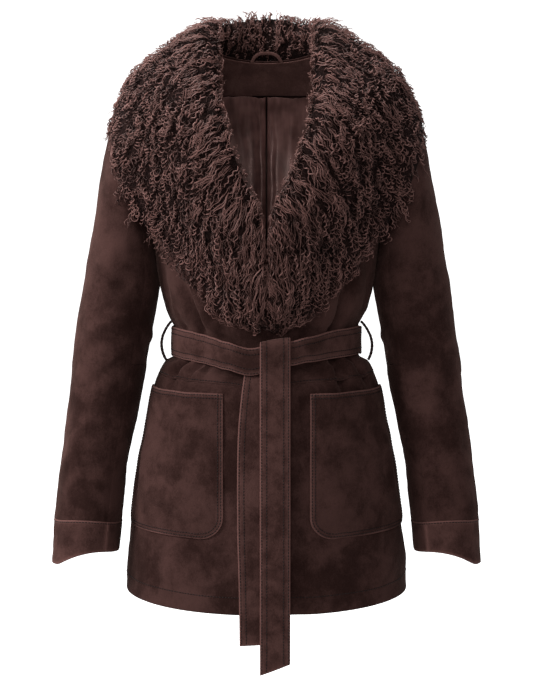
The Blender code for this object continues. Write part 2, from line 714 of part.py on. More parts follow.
def collar_seat(tree, side):
    """Where the collar's underside lies: a grid of (point, way out), bridging the hollows below it."""
    grid = []
    for row in COLLAR_ROWS:
        inner = Vector((side * row.inner_x, row.inner_y, row.inner_z))
        outer = Vector((side * row.outer_x, row.outer_y, row.outer_z))
        line = []
        for column in range(COLLAR_COLUMNS + 1):
            part = column / COLLAR_COLUMNS
            point = inner.lerp(outer, part)
            way = outward(point)
            hit = tree.ray_cast(point + way * CAST_REACH, -way, CAST_REACH * 1.6)[0]
            clear = COLLAR_SEAT + (COLLAR_LIFT - COLLAR_SEAT) * min(part * SEAT_EASE, 1.0)
            rise = (hit - point).dot(way) + clear if hit else 0.0
            line.append([point, way, max(rise, 0.0) if column == COLLAR_COLUMNS else rise])
        grid.append(line)
    for _ in range(BRIDGE_PASSES):
        for before, line, after in zip(grid, grid[1:], grid[2:]):
            for column in range(1, COLLAR_COLUMNS + 1):
                near = [before[column], after[column]]
                if column < COLLAR_COLUMNS:
                    near += [line[column - 1], line[column + 1]]
                middle = sum((point + way * rise for point, way, rise in near), Vector()) / len(near)
                point, way, rise = line[column]
                line[column][2] = max(rise, (middle - point).dot(way))
    for _ in range(CLEAR_PASSES):
        if not lift_off(tree, grid):
            break
    return [[(point + way * rise, way) for point, way, rise in line] for line in grid]


def lift_off(tree, grid):
    """Raises each facet of the collar's seat where it comes too near the cloth, and says if any did."""
    steps = [
        (1 - (a + b) / FACET_SAMPLES, a / FACET_SAMPLES, b / FACET_SAMPLES)
        for a in range(FACET_SAMPLES + 1)
        for b in range(FACET_SAMPLES + 1 - a)
    ]
    lifted = False
    for low, high in zip(grid, grid[1:]):
        for column in range(COLLAR_COLUMNS):
            corners = (low[column], low[column + 1], high[column + 1], high[column])
            for start in range(4):
                facet = [corners[start], corners[(start + 1) % 4], corners[(start + 3) % 4]]
                places = [point + way * rise for point, way, rise in facet]
                worst, shares = 0.0, None
                for weights in steps:
                    place = sum((p * w for p, w in zip(places, weights)), Vector())
                    way = sum((corner[1] * w for corner, w in zip(facet, weights)), Vector()).normalized()
                    hit = tree.ray_cast(place + way * CAST_REACH, -way, CAST_REACH * 1.2)[0]
                    if hit and (hit - place).dot(way) + COLLAR_CLEAR > worst:
                        worst, shares = (hit - place).dot(way) + COLLAR_CLEAR, weights
                if shares:
                    lifted = True
                    for corner, weight in zip(facet, shares):
                        corner[2] += (worst + LIFT_OVER) * weight
    return lifted


def collar_height(row, part):
    """The fur's height above the collar's seat, from its crest at the neck to its thin outer edge."""
    falling = row.crest + (row.middle - row.crest) * shared(part, 0.0, CREST_REACH)
    return row.edge + (falling - row.edge) * (1 - shared(part, EDGE_START, 1.0))


def collar_section(row, line, side):
    """One closed loop of points across the collar, from the seat's inner end outwards and back on top."""
    seat = [point for point, _ in line]
    top = [
        point + way * collar_height(row, column / COLLAR_COLUMNS)
        for column, (point, way) in enumerate(line)
    ]
    inwards = (seat[0] - seat[1]).normalized()
    low = seat[0] + (top[0] - seat[0]) * UNDER_SHARE + inwards * row.inward * UNDER_INWARD
    high = seat[0] + (top[0] - seat[0]) * OVER_SHARE + inwards * row.inward
    loop = [*seat, *reversed(top), high, low]
    for point in loop:
        point.x = side * max(point.x * side, COLLAR_HALF_GAP)
    return loop


def add_collar(material, tree):
    """The two halves of the fur shawl collar, seated on the body and the sleeve heads."""
    for side, hand in ((1, "left"), (-1, "right")):
        bm = bmesh.new()
        loops = []
        for row, line in zip(COLLAR_ROWS, collar_seat(tree, side)):
            verts = [bm.verts.new(point) for point in collar_section(row, line, side)]
            loops.append([bm.edges.new(pair) for pair in zip(verts, verts[1:] + verts[:1])])
        for before, after in zip(loops, loops[1:]):
            bmesh.ops.bridge_loops(bm, edges=before + after)
        bmesh.ops.holes_fill(bm, edges=loops[0] + loops[-1])
        bmesh.ops.triangulate(bm, faces=[face for face in bm.faces if len(face.verts) > 4])
        put_in_scene(f"collar_{hand}", bm, material)


def add_facing(material):
    """The suede strip inside the back neck."""
    top = step_along(NECK, -FACING_TOP_STEP)
    bottom = level_at_back(LEVELS[NECK].z_back - FACING_DEPTH)

    def face_at(u, level):
        half_turn = angle_at(min(FACING_HALF_WIDTH, ring_at(level).half_width * FACING_SHARE), level)
        across = (1 + half_turn / side_angle(level, ARMHOLE_BACK) * (2 * u - 1)) / 2
        return inside_back(across, level, SUEDE + LINING_GAP)

    rows = [bottom, *[row for row in BODICE_ROWS if bottom < row < top], top]
    add_panel("back_neck_facing", material, FACING_COLUMNS, rows, face_at, FACING)


def level_at_back(z):
    """The level at which the centre back is at a height."""
    low, high = float(HEM), float(NECK)
    for _ in range(30):
        middle = (low + high) / 2
        if torso_point(pi, middle).z < z:
            low = middle
        else:
            high = middle
    return (low + high) / 2


def add_lining(material):
    """The satin lining of the back, with a pleat down its centre."""
    top = level_at_back(LEVELS[NECK].z_back - FACING_DEPTH - SEAM_GAP)
    bottom = level_at_back(LINING_END)
    columns = BACK_COLUMNS - 2 * LINING_SIDE_COLUMNS

    def face_at(u, level):
        pleat = PLEAT_DEPTH * exp(-(((u - 0.5) / PLEAT_SHARE) ** 2)) * shared(level, WAIST_SEAM, SHOULDER)
        across = (LINING_SIDE_COLUMNS + columns * u) / BACK_COLUMNS
        return inside_back(across, level, SUEDE + LINING_GAP + pleat)

    inside = [row for row in SKIRT_ROWS + BODICE_ROWS if bottom < row < top]
    add_panel("lining_back", material, columns // 2, [bottom, *inside, top], face_at, SATIN)


def add_hanger(material):
    """A narrow strap standing up in an arch at the back neck."""
    neck, _ = torso_face(pi, NECK)
    y = neck.y - SUEDE - LINING_GAP - FACING - HANGER_THICKNESS / 2 - SEAM_GAP
    half = (HANGER_WIDTH - HANGER_STRAP) / 2
    foot = neck.z - HANGER_FOOT
    corners = ((-1, -1), (-1, 1), (1, 1), (1, -1))
    bm = bmesh.new()
    rings = []
    for step in range(HANGER_STEPS + 1):
        angle = pi * step / HANGER_STEPS
        across, up = squared(cos(angle), HANGER_SQUARENESS), squared(sin(angle), HANGER_SQUARENESS)
        ring = []
        for side, deep in corners:
            out = side * HANGER_STRAP / 2
            place_y = y + deep * HANGER_THICKNESS / 2
            ring.append(bm.verts.new(((half + out) * across, place_y, foot + (HANGER_HEIGHT + out) * up)))
        rings.append([bm.edges.new(pair) for pair in zip(ring, ring[1:] + ring[:1])])
    for before, after in zip(rings, rings[1:]):
        bmesh.ops.bridge_loops(bm, edges=before + after)
    bmesh.ops.holes_fill(bm, edges=rings[0] + rings[-1])
    put_in_scene("hanger_loop", bm, material)


def add_pocket(material, side, hand):
    """A patch pocket with round lower corners, a little full, its mouth standing just open."""

    def face_at(u, z):
        level = level_at(z, side * radians(50))
        ring = ring_at(level)
        short = POCKET_CORNER - min(z - POCKET_BOTTOM, POCKET_CORNER)
        cut = POCKET_CORNER - sqrt(POCKET_CORNER**2 - short**2)
        low = angle_at(POCKET_INNER, level) + cut / ring.depth_front * POCKET_ROUND_INNER
        high = POCKET_OUTER_TURN - cut / ring.half_width * POCKET_ROUND_OUTER
        fall = POCKET_TOP_FALL * u * shared(z, POCKET_BOTTOM, POCKET_TOP)
        point, normal = torso_face(side * (low + (high - low) * u), step_along(level, -fall))
        across = 1 - (2 * u - 1) ** 4
        mouth = shared(z, POCKET_TOP - POCKET_EASE, POCKET_TOP)
        upright = shared(z, POCKET_BOTTOM, POCKET_BOTTOM + POCKET_EASE)
        full = POCKET_SWELL * upright * (1 - (1 - POCKET_SWELL_TOP) * mouth) + POCKET_MOUTH * mouth
        return point + normal * (LAY_GAP + POCKET_WALL + full * across), normal

    low_rows = [POCKET_BOTTOM + POCKET_CORNER * share for share in POCKET_CORNER_ROWS]
    high_rows = [low_rows[-1] + (POCKET_TOP - low_rows[-1]) * share for share in POCKET_ROWS]
    add_panel(f"pocket_{hand}", material, POCKET_COLUMNS, low_rows + high_rows, face_at, POCKET_WALL)


def belt_middle(angle):
    """The height of the belt's middle line at an angle."""
    return WAIST_Z - waist_drop(angle, WAIST_Z)


def band_stand(angle):
    """How far the band stands off the waist: flat where the tied end wraps it, close elsewhere."""
    turn = abs((angle + pi) % (2 * pi) - pi)
    depth = LEVELS[BELT_LOW].depth_front
    flat = (depth + KNOT_STAND) / squared(cos(min(turn, KNOT_TURN)), SQUARENESS) - depth
    return BAND_CLEAR + (flat - BAND_CLEAR) * (1 - shared(turn, KNOT_TURN, KNOT_TURN * 2.8))


def add_band(material):
    """The belt round the waist, with its join under the knot."""
    ring = LEVELS[BELT_LOW]
    half_gap = SEAM_GAP / 2 / ring.depth_front

    def at(u, side, out):
        angle = half_gap + (2 * pi - 2 * half_gap) * u
        height = side * between(BAND_HEIGHTS, (angle / pi * 180 + 180) % 360 - 180)
        stand = band_stand(angle) + out
        forward, sideways = cos(angle), sin(angle)
        depth = ring.depth_front if forward > 0 else ring.depth_back
        return Vector(
            (
                (ring.half_width + stand) * squared(sideways, SQUARENESS),
                -(depth + stand) * squared(forward, SQUARENESS),
                belt_middle(angle) + height,
            )
        )

    add_wall(
        "belt_band",
        material,
        BAND_COLUMNS,
        [-1, 1],
        lambda u, v: at(u, v, BELT_STRAP),
        lambda u, v: at(u, v, 0.0),
    )


def front_depth(z, x):
    """How far forward the coat's front reaches at a height and a distance from the centre."""
    angle = angle_at(x, WAIST_SEAM)
    for _ in range(3):
        level = level_at(max(z, LEVELS[HEM].z_front), angle)
        angle = angle_at(x, level)
    return -torso_point(angle, level).y


def widest_depth(z, middle):
    """The most that the coat's front reaches forward behind a strip of belt at a height."""
    places = [(z + rise, middle + across) for rise in TAIL_RISES for across in TAIL_ACROSS]
    return max(front_depth(*place) for place in places)


def add_back_tail(material):
    """The belt's end that comes out below the band and hangs against the skirt."""
    stops = stops_along([(row.z,) for row in BACK_TAIL])

    def at(u, position, out):
        z, middle = on_curve(BACK_TAIL, stops, position)
        y = -(widest_depth(z, middle) + LAY_GAP + out)
        x = middle + TAIL_WIDTH * (u - 0.5)
        return Vector((x, y, z))

    add_wall(
        "belt_tail_back",
        material,
        1,
        BACK_TAIL_ROWS,
        lambda u, v: at(u, v, BELT_STRAP),
        lambda u, v: at(u, v, 0.0),
    )


def front_tail_path():
    """The front end's middle line in side view: up behind the band, over its top and down in front."""
    ring = LEVELS[BELT_LOW]
    band_back = ring.depth_front + KNOT_STAND
    band_front = band_back + BELT_STRAP
    inner, outer = band_back - LAY_GAP - BELT_STRAP / 2, band_front + LAY_GAP + BELT_STRAP / 2
    radius = (outer - inner) / 2
    centre_z = FRONT_TAIL_TOP - BELT_STRAP / 2 - radius
    path = [(inner, FRONT_TAIL_BACK_END), (inner, centre_z - 0.010)]
    path += [
        ((inner + outer) / 2 - radius * cos(turn), centre_z + radius * sin(turn))
        for turn in (pi * step / FRONT_TAIL_TURN_STEPS for step in range(FRONT_TAIL_TURN_STEPS + 1))
    ]
    behind = 2 * LAY_GAP + BELT_STRAP * 1.5
    for z in FRONT_TAIL_ROWS:
        path.append((max(widest_depth(z, FRONT_TAIL_MIDDLE) + behind, outer), z))
    path.append((path[-1][0], (FRONT_TAIL_END[0] + FRONT_TAIL_END[1]) / 2))
    return path


def add_front_tail(material):
    """The belt's end that folds over the band and hangs in front, cut on a slant at its tip."""
    path = front_tail_path()
    last = len(path) - 1

    def at(u, row, out):
        index = round(row)
        before, after = path[max(index - 1, 0)], path[min(index + 1, last)]
        along = (after[0] - before[0], after[1] - before[1])
        size = hypot(*along)
        depth = path[index][0] - along[1] / size * out
        z = path[index][1] + along[0] / size * out
        if index == last:
            z = FRONT_TAIL_END[0] + (FRONT_TAIL_END[1] - FRONT_TAIL_END[0]) * u
        x = FRONT_TAIL_MIDDLE + TAIL_WIDTH * (u - 0.5)
        slant = FRONT_TAIL_SLANT * (u - 0.5) * shared(z, WAIST_Z - 0.03, WAIST_Z + 0.01)
        return Vector((x, -depth, z + slant))

    add_wall(
        "belt_tail_front",
        material,
        1,
        list(range(last + 1)),
        lambda u, v: at(u, v, BELT_STRAP / 2),
        lambda u, v: at(u, v, -BELT_STRAP / 2),
    )


def add_belt_loop(material, side, hand):
    """A thin cord at the side seam, bowed out round the belt."""
    curve = bpy.data.curves.new(f"belt_loop_{hand}", "CURVE")
    curve.dimensions = "3D"
    curve.bevel_depth = LOOP_RADIUS
    curve.bevel_resolution = 2
    curve.use_fill_caps = True
    angle = side * pi / 2
    clear = LOOP_RADIUS + SEAM_GAP
    high_x = abs(torso_point(angle, level_at(LOOP_HIGH, angle)).x) + clear
    low_x = abs(torso_point(angle, level_at(LOOP_LOW, angle)).x) + clear
    spline = curve.splines.new("POLY")
    spline.points.add(LOOP_STEPS)
    for step in range(LOOP_STEPS + 1):
        part = step / LOOP_STEPS
        x = high_x + (low_x - high_x) * part + LOOP_BULGE * sin(pi * part) ** LOOP_ROUNDNESS
        z = LOOP_HIGH + (LOOP_LOW - LOOP_HIGH) * part
        spline.points[step].co = (side * x, 0.0, z, 1)
    curve.materials.append(material)
    obj = bpy.data.objects.new(f"belt_loop_{hand}", curve)
    bpy.context.scene.collection.objects.link(obj)


def main():
    for old in list(bpy.data.objects):
        bpy.data.objects.remove(old)
    suede = principled("suede", SUEDE_BROWN, 0.95, sheen=0.4)
    fur = principled("fur", FUR_BROWN, 0.85)
    satin = principled("satin", SATIN_BROWN, 0.35)
    covered = add_body(suede)
    for side, hand in ((1, "left"), (-1, "right")):
        covered += add_sleeve(suede, side, hand)
        add_cuff(suede, side, hand)
        add_pocket(suede, side, hand)
        add_belt_loop(suede, side, hand)
    add_collar(fur, tree_of(covered))
    add_facing(suede)
    add_lining(satin)
    add_hanger(suede)
    add_band(suede)
    add_back_tail(suede)
    add_front_tail(suede)


main()
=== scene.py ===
"""The looks of a belted suede coat with a curly fur shawl collar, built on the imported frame.

Metres, +Z up, the front towards -Y and the wearer's left towards +X. The cloth repeats the sizes of
the CAD model on finer grids, with creases, topstitching, satin ripples and the fur itself added.
"""

import logging
from collections import namedtuple
from dataclasses import dataclass, field
from enum import Enum
from math import pi, radians
from typing import Iterable, Sequence

import bmesh
import bpy
import numpy as np
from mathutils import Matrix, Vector
from mathutils.bvhtree import BVHTree


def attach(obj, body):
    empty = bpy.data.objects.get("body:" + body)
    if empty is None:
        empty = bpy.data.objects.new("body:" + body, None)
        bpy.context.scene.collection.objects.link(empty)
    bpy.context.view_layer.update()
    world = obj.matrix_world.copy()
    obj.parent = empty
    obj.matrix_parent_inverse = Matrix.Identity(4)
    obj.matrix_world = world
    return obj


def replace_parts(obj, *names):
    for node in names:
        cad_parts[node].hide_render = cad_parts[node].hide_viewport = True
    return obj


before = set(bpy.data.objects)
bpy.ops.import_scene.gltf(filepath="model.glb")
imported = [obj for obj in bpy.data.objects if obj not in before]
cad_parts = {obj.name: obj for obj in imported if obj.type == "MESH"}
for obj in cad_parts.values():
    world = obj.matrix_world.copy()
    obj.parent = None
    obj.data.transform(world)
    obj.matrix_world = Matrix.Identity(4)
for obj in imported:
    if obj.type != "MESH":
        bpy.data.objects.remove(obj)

logging.basicConfig(level=logging.INFO, format="%(message)s")
log = logging.getLogger("coat")

Array = np.ndarray
Points = Sequence[Sequence[float]]
Place = Colour = tuple[float, float, float]
TINY = 1e-9

# Cloth thicknesses and the gaps between pieces
SUEDE = 0.0018
FACING = 0.0015
SATIN = 0.0010
BELT_STRAP = 0.0030
POCKET_WALL = 0.0020
SEAM_GAP = 0.0004
CLOSED_GAP = 0.00002
LAY_GAP = 0.0006
LINING_GAP = 0.0009

# Level rings of the body, from the hem up. Each is a squared oval, which may tilt front and back.
Level = namedtuple("Level", "z_side z_front z_back half_width depth_front depth_back")
LEVELS = (
    Level(-0.7385, -0.7450, -0.7385, 0.1985, 0.1450, 0.1350),
    Level(-0.7037, -0.7047, -0.7030, 0.1969, 0.1440, 0.1330),
    Level(-0.6603, -0.6611, -0.6596, 0.1924, 0.1420, 0.1310),
    Level(-0.6170, -0.6176, -0.6164, 0.1870, 0.1400, 0.1290),
    Level(-0.5595, -0.5600, -0.5591, 0.1784, 0.1360, 0.1260),
    Level(-0.5024, -0.5027, -0.5021, 0.1668, 0.1300, 0.1210),
    Level(-0.4597, -0.4599, -0.4595, 0.1585, 0.1230, 0.1140),
    Level(-0.4334, -0.4336, -0.4333, 0.1503, 0.1160, 0.1070),
    Level(-0.4182, -0.4184, -0.4181, 0.1411, 0.1100, 0.1000),
    Level(-0.4112, -0.4113, -0.4111, 0.1291, 0.1015, 0.0890),
    Level(-0.3910, -0.3911, -0.3910, 0.1272, 0.0995, 0.0875),
    Level(-0.3689, -0.3690, -0.3689, 0.1283, 0.1005, 0.0885),
    Level(-0.3599, -0.3599, -0.3598, 0.1328, 0.1045, 0.0920),
    Level(-0.3468, -0.3469, -0.3468, 0.1387, 0.1090, 0.0960),
    Level(-0.3328, -0.3328, -0.3328, 0.1431, 0.1130, 0.0990),
    Level(-0.2998, -0.3018, -0.2998, 0.1503, 0.1190, 0.1020),
    Level(-0.2500, -0.2559, -0.2491, 0.1569, 0.1260, 0.1070),
    Level(-0.2153, -0.2242, -0.2124, 0.1616, 0.1270, 0.1100),
    Level(-0.1709, -0.1866, -0.1650, 0.1682, 0.1240, 0.1140),
    Level(-0.1217, -0.1461, -0.1120, 0.1757, 0.1180, 0.1140),
    Level(-0.0776, -0.1118, -0.0680, 0.1832, 0.1050, 0.1040),
    Level(-0.0435, -0.0873, -0.0387, 0.1888, 0.0880, 0.0880),
    Level(-0.0221, -0.0727, -0.0193, 0.1473, 0.0720, 0.0780),
    Level(-0.0017, -0.0610, -0.0076, 0.1079, 0.0600, 0.0690),
    Level(0.0138, -0.0532, -0.0008, 0.0784, 0.0500, 0.0620),
)
HEM, WAIST_SEAM, BELT_LOW, UNDERARM, SHOULDER, NECK = 0, 7, 9, 17, 21, 24
SQUARENESS = 2.2
NEAR_ANGLE, NEAR_LEVEL = 0.01, 0.02

# How far the wrapped belt and the waist under it slant down towards the knot, by angle from the front
Slant = namedtuple("Slant", "angle drop")
SLANTS = (
    Slant(-180, 0.0),
    Slant(-92, 0.0),
    Slant(-70, -0.0028),
    Slant(-50, -0.0014),
    Slant(-40, 0.0008),
    Slant(-30, 0.0033),
    Slant(-20, 0.0066),
    Slant(-7, 0.0146),
    Slant(9, 0.0036),
    Slant(20, -0.0012),
    Slant(50, -0.0054),
    Slant(70, -0.0056),
    Slant(100, 0.0),
    Slant(180, 0.0),
)
SLANT_REACH = 0.060
SLANT_HOLD = 0.35
WAIST_Z = -0.390

# Soft folds that the tied belt gathers. Each is tallest at the belt and runs out up or down from it.
Fold = namedtuple("Fold", "angle width height length upward")
FOLDS = (
    Fold(-39, 6.0, 0.0045, 0.110, True),
    Fold(-58, 5.5, 0.0028, 0.070, True),
    Fold(-20, 6.0, 0.0030, 0.080, True),
    Fold(35, 6.0, 0.0045, 0.120, True),
    Fold(56, 5.5, 0.0030, 0.075, True),
    Fold(-128, 6.5, 0.0040, 0.120, True),
    Fold(-152, 6.0, 0.0030, 0.080, True),
    Fold(131, 6.5, 0.0042, 0.110, True),
    Fold(156, 6.0, 0.0028, 0.090, True),
    Fold(-40, 6.0, 0.0038, 0.070, False),
    Fold(-62, 6.0, 0.0026, 0.050, False),
    Fold(34, 6.0, 0.0040, 0.080, False),
    Fold(60, 6.0, 0.0026, 0.050, False),
    Fold(-130, 7.0, 0.0040, 0.120, False),
    Fold(-155, 6.0, 0.0030, 0.090, False),
    Fold(133, 7.0, 0.0040, 0.130, False),
    Fold(158, 6.0, 0.0028, 0.080, False),
)
FOLD_START, FOLD_FULL = 0.0205, 0.036

# The front edge: the roll line of the collar above, the lap past the centre below
Edge = namedtuple("Edge", "z reach")
FRONT_EDGE = (
    Edge(-0.770, -0.0275),
    Edge(-0.360, -0.0270),
    Edge(-0.300, -0.0149),
    Edge(-0.250, 0.0050),
    Edge(-0.200, 0.0297),
    Edge(-0.151, 0.0494),
    Edge(-0.102, 0.0641),
    Edge(-0.063, 0.0718),
    Edge(0.015, 0.0764),
)
LAP_INSET = 0.0036
LAP_BLEND = (0.036, 0.066)
LAP_TOP = (-0.262, -0.222)

# Armholes: how far round from the side seam they reach, to the front and to the back
ARMHOLE_FRONT = radians(35)
ARMHOLE_BACK = radians(30)
ARMHOLE_LOW_POWER = 0.6
ARMHOLE_HIGH_POWER = 0.85

# Sleeve rings from the shoulder to the cuff. outer and inner are the two ends of a ring in front view.
Ring = namedtuple("Ring", "outer_x outer_z inner_x inner_z y_middle half_depth front_rise back_rise")
RINGS = (
    Ring(0.1888, -0.0435, 0.1616, -0.2153, 0.000, 0.0700, 0.0, 0.0),
    Ring(0.2088, -0.0776, 0.1614, -0.2292, 0.000, 0.0710, 0.0, 0.0),
    Ring(0.2218, -0.1246, 0.1590, -0.2460, 0.001, 0.0705, 0.0, 0.0),
    Ring(0.2315, -0.1758, 0.1561, -0.2679, 0.002, 0.0690, 0.0, 0.0),
    Ring(0.2411, -0.2302, 0.1524, -0.2948, 0.003, 0.0670, 0.0, 0.0),
    Ring(0.2506, -0.2848, 0.1520, -0.3328, 0.003, 0.0650, 0.0, 0.0),
    Ring(0.2609, -0.3448, 0.1598, -0.3749, 0.001, 0.0630, 0.0, 0.0),
    Ring(0.2695, -0.4031, 0.1677, -0.4203, -0.003, 0.0610, 0.0, 0.0),
    Ring(0.2783, -0.4760, 0.1788, -0.4861, -0.010, 0.0575, 0.002, 0.0),
    Ring(0.2865, -0.5453, 0.1918, -0.5473, -0.018, 0.0550, 0.004, 0.0),
    Ring(0.2922, -0.6037, 0.1990, -0.6037, -0.023, 0.0540, 0.006, 0.0),
    Ring(0.2957, -0.6346, 0.2024, -0.6387, -0.026, 0.0535, 0.008, -0.002),
    Ring(0.3005, -0.7039, 0.2062, -0.6800, -0.031, 0.0525, 0.0155, -0.0055),
)
CUFF_SEAM, CUFF_END = 11, 12
SLEEVE_SQUARENESS = 2.1
FRONT_SEAM_TURN = radians(129)
BACK_SEAM_TURN = radians(250)
ELBOW_SEAM = 7.0
HEAD_GAP = 0.0013
HEAD_LIFT = 0.0005

# Collar stations from the centre back to the point below the V, on the wearer's left.
# The inner end lies on the neck seam or roll line and the outer end where the hair ends.
Station = namedtuple("Station", "inner_x inner_y inner_z outer_x outer_y outer_z crest inward middle edge")
STATIONS = (
    Station(0.0006, 0.0645, -0.0018, 0.0006, 0.1145, -0.1611, 0.081, 0.014, 0.034, 0.009),
    Station(0.0255, 0.0635, 0.0002, 0.0554, 0.1100, -0.1611, 0.077, 0.014, 0.034, 0.009),
    Station(0.0500, 0.0550, 0.0041, 0.1186, 0.0920, -0.1532, 0.064, 0.017, 0.034, 0.008),
    Station(0.0696, 0.0390, 0.0079, 0.1698, 0.0700, -0.1355, 0.052, 0.021, 0.034, 0.005),
    Station(0.0814, 0.0170, 0.0118, 0.2002, 0.0450, -0.1080, 0.044, 0.025, 0.035, 0.003),
    Station(0.0824, -0.0040, 0.0118, 0.2103, 0.0120, -0.0874, 0.041, 0.028, 0.036, 0.003),
    Station(0.0814, -0.0260, -0.0027, 0.2090, -0.0280, -0.1021, 0.040, 0.027, 0.035, 0.003),
    Station(0.0786, -0.0460, -0.0260, 0.2005, -0.0500, -0.1393, 0.039, 0.026, 0.034, 0.004),
    Station(0.0757, -0.0680, -0.0571, 0.1870, -0.0620, -0.1787, 0.037, 0.025, 0.033, 0.006),
    Station(0.0709, -0.0860, -0.0864, 0.1774, -0.0670, -0.2044, 0.035, 0.025, 0.032, 0.009),
    Station(0.0622, -0.1020, -0.1177, 0.1686, -0.0670, -0.2212, 0.034, 0.024, 0.032, 0.009),
    Station(0.0514, -0.1140, -0.1511, 0.1568, -0.0660, -0.2381, 0.032, 0.025, 0.031, 0.009),
    Station(0.0356, -0.1220, -0.1846, 0.1351, -0.0700, -0.2560, 0.031, 0.023, 0.030, 0.009),
    Station(0.0208, -0.1260, -0.2123, 0.1144, -0.0880, -0.2798, 0.030, 0.022, 0.030, 0.009),
    Station(0.0119, -0.1270, -0.2380, 0.0946, -0.0980, -0.2978, 0.029, 0.012, 0.029, 0.009),
    Station(0.0030, -0.1240, -0.2679, 0.0787, -0.1030, -0.3178, 0.028, 0.003, 0.028, 0.009),
    Station(0.0020, -0.1200, -0.2978, 0.0659, -0.1040, -0.3398, 0.027, 0.001, 0.027, 0.009),
    Station(0.0020, -0.1160, -0.3278, 0.0429, -0.1050, -0.3539, 0.024, 0.001, 0.024, 0.009),
    Station(0.0020, -0.1100, -0.3499, 0.0180, -0.1050, -0.3609, 0.018, 0.001, 0.018, 0.009),
)
# The section of the fur's outer form: how the crest falls away and how the neck side stands
CREST_REACH = 0.45
EDGE_START = 0.4
UNDER_SHARE, UNDER_INWARD = 0.30, 0.75
OVER_SHARE = 0.70
SECTION_PARTS, SECTION_END, NECK_PARTS = 31, 0.985, 3
RAY_START, RAY_REACH = 0.2, 0.25
SEAM_THICK, NECK_THICK, UNDER_THICK, OVER_THICK = 0.006, 0.8, 0.008, 0.010
FORM_SMOOTHINGS = 4
PAST_START, PAST_ROWS, PAST_COLUMNS, MOST_MOVE, SMALLEST_CELL = -3.0, 4.0, 5.0, 3.0, 1e-12

# The coat's core, out of which the fur grows
CORE_SHARE = 0.92
CORE_HALF_WIDTH = 0.152
CORE_DROP = 0.020
CORE_TOP = -0.150

# Patch pockets, as placed on the skirt fronts
POCKET_TOP, POCKET_BOTTOM = -0.4482, -0.6423
POCKET_TOP_FALL = 0.004
POCKET_INNER = 0.058
POCKET_OUTER_TURN = radians(87)
POCKET_CORNER = 0.030
POCKET_ROUND_INNER, POCKET_ROUND_OUTER = 0.80, 1.10
POCKET_SWELL = 0.003
POCKET_SWELL_TOP = 0.6
POCKET_MOUTH = 0.0028
POCKET_EASE = 0.05
POCKET_HOLD = (0.002, 0.016)
POCKET_TURN = radians(50)
POCKET_CORNER_ROWS, POCKET_ROWS, POCKET_COLUMNS = 10, 32, 36
LEVEL_DROP = 0.050

# Facing, lining and hanger loop inside the back
FACING_TOP_STEP = 0.0030
FACING_DEPTH = 0.046
FACING_HALF_WIDTH = 0.078
FACING_SHARE = 0.93
LINING_END = -0.715
LINING_HANG, LINING_HANG_FALL = 0.0070, (0.020, 0.160)
LINING_SHARE, LINING_MIDDLE, LINING_CROWDING = 9 / 11, 0.35, 2.5
LINING_STEP, LINING_COLUMNS, FACING_STEP, FACING_COLUMNS = 0.0120, 81, 0.005, 33
LINING_CLEAR, FACING_CLEAR = 0.0012, 0.0003
GATHER_HEIGHT, GATHER_FALL = 0.0019, (0.085, 0.010)
GATHER_RATE, GATHER_DRIFT, GATHER_DRIFT_RATE = 520, 2.2, 90
GATHER_SWING, GATHER_SWING_RATE, GATHER_SWING_SHIFT = 0.4, 170, 1.0
PLEAT_HALF_WIDTH = 0.0017
HANGER_WIDTH, HANGER_HEIGHT = 0.042, 0.0125
HANGER_STRAP, HANGER_THICKNESS = 0.0045, 0.0020
HANGER_FOOT = 0.002
HANGER_SQUARENESS = 3.2
HANGER_CROWN, HANGER_FOOT_SPREAD, HANGER_TAPER = 0.00035, 1.10, 0.30
HANGER_ROWS, HANGER_COLUMNS, HANGER_RIM = 49, 5, 0.0004

# Belt: the band round the waist, then the two hanging ends
BandRow = namedtuple("BandRow", "angle half_height")
BAND_HEIGHTS = (
    BandRow(-180, 0.0205),
    BandRow(-60, 0.0205),
    BandRow(-7, 0.0187),
    BandRow(9, 0.0166),
    BandRow(50, 0.0195),
    BandRow(180, 0.0205),
)
BAND_HALF_HEIGHT = 0.0205
BAND_CLEAR = 0.0008
KNOT_STAND = 0.0140
KNOT_TURN, KNOT_END = radians(14), radians(39.2)
BELT_RIM = 0.0011
BAND_COLUMNS, BAND_ROWS, TAIL_COLUMNS, TAIL_STEP, FOLD_STEP = 180, 11, 13, 0.0045, 0.0035
BUCKLE, BUCKLE_RATE, BUCKLE_SLOPE, BUCKLE_DRIFT, BUCKLE_DRIFT_RATE = 0.0007, 95, 1.4, 1.5, 21
BAND_CROWN = 0.0005
TAIL_WAVE, TAIL_WAVE_RATE, TAIL_WAVE_SLOPE, TAIL_CROWN, TAIL_HOLD = 0.0006, 42, 3, 0.0007, 0.03
TIP_STEPS = 7
TAIL_WIDTH = 0.041
FRONT_TAIL_MIDDLE = 0.0115
FRONT_TAIL_TOP = -0.3745
FRONT_TAIL_SLANT = 0.006
FRONT_TAIL_BACK_END = -0.400
FRONT_TAIL_END = (-0.8262, -0.8104)
FRONT_TAIL_ROWS = (-0.400, -0.418, -0.433, -0.446, -0.459, -0.480, -0.501, -0.557, -0.613, -0.697, -0.742)
TAIL_RISES = (-0.002, 0.0, 0.002)
TAIL_ACROSS = (-0.018, -0.009, 0.0, 0.009, 0.018)
TailRow = namedtuple("TailRow", "z middle")
BACK_TAIL = (
    TailRow(-0.4144, -0.0085),
    TailRow(-0.4285, -0.0105),
    TailRow(-0.4508, -0.0135),
    TailRow(-0.4915, -0.0171),
    TailRow(-0.5426, -0.0187),
    TailRow(-0.6248, -0.0187),
    TailRow(-0.7077, -0.0168),
    TailRow(-0.7851, -0.0158),
)

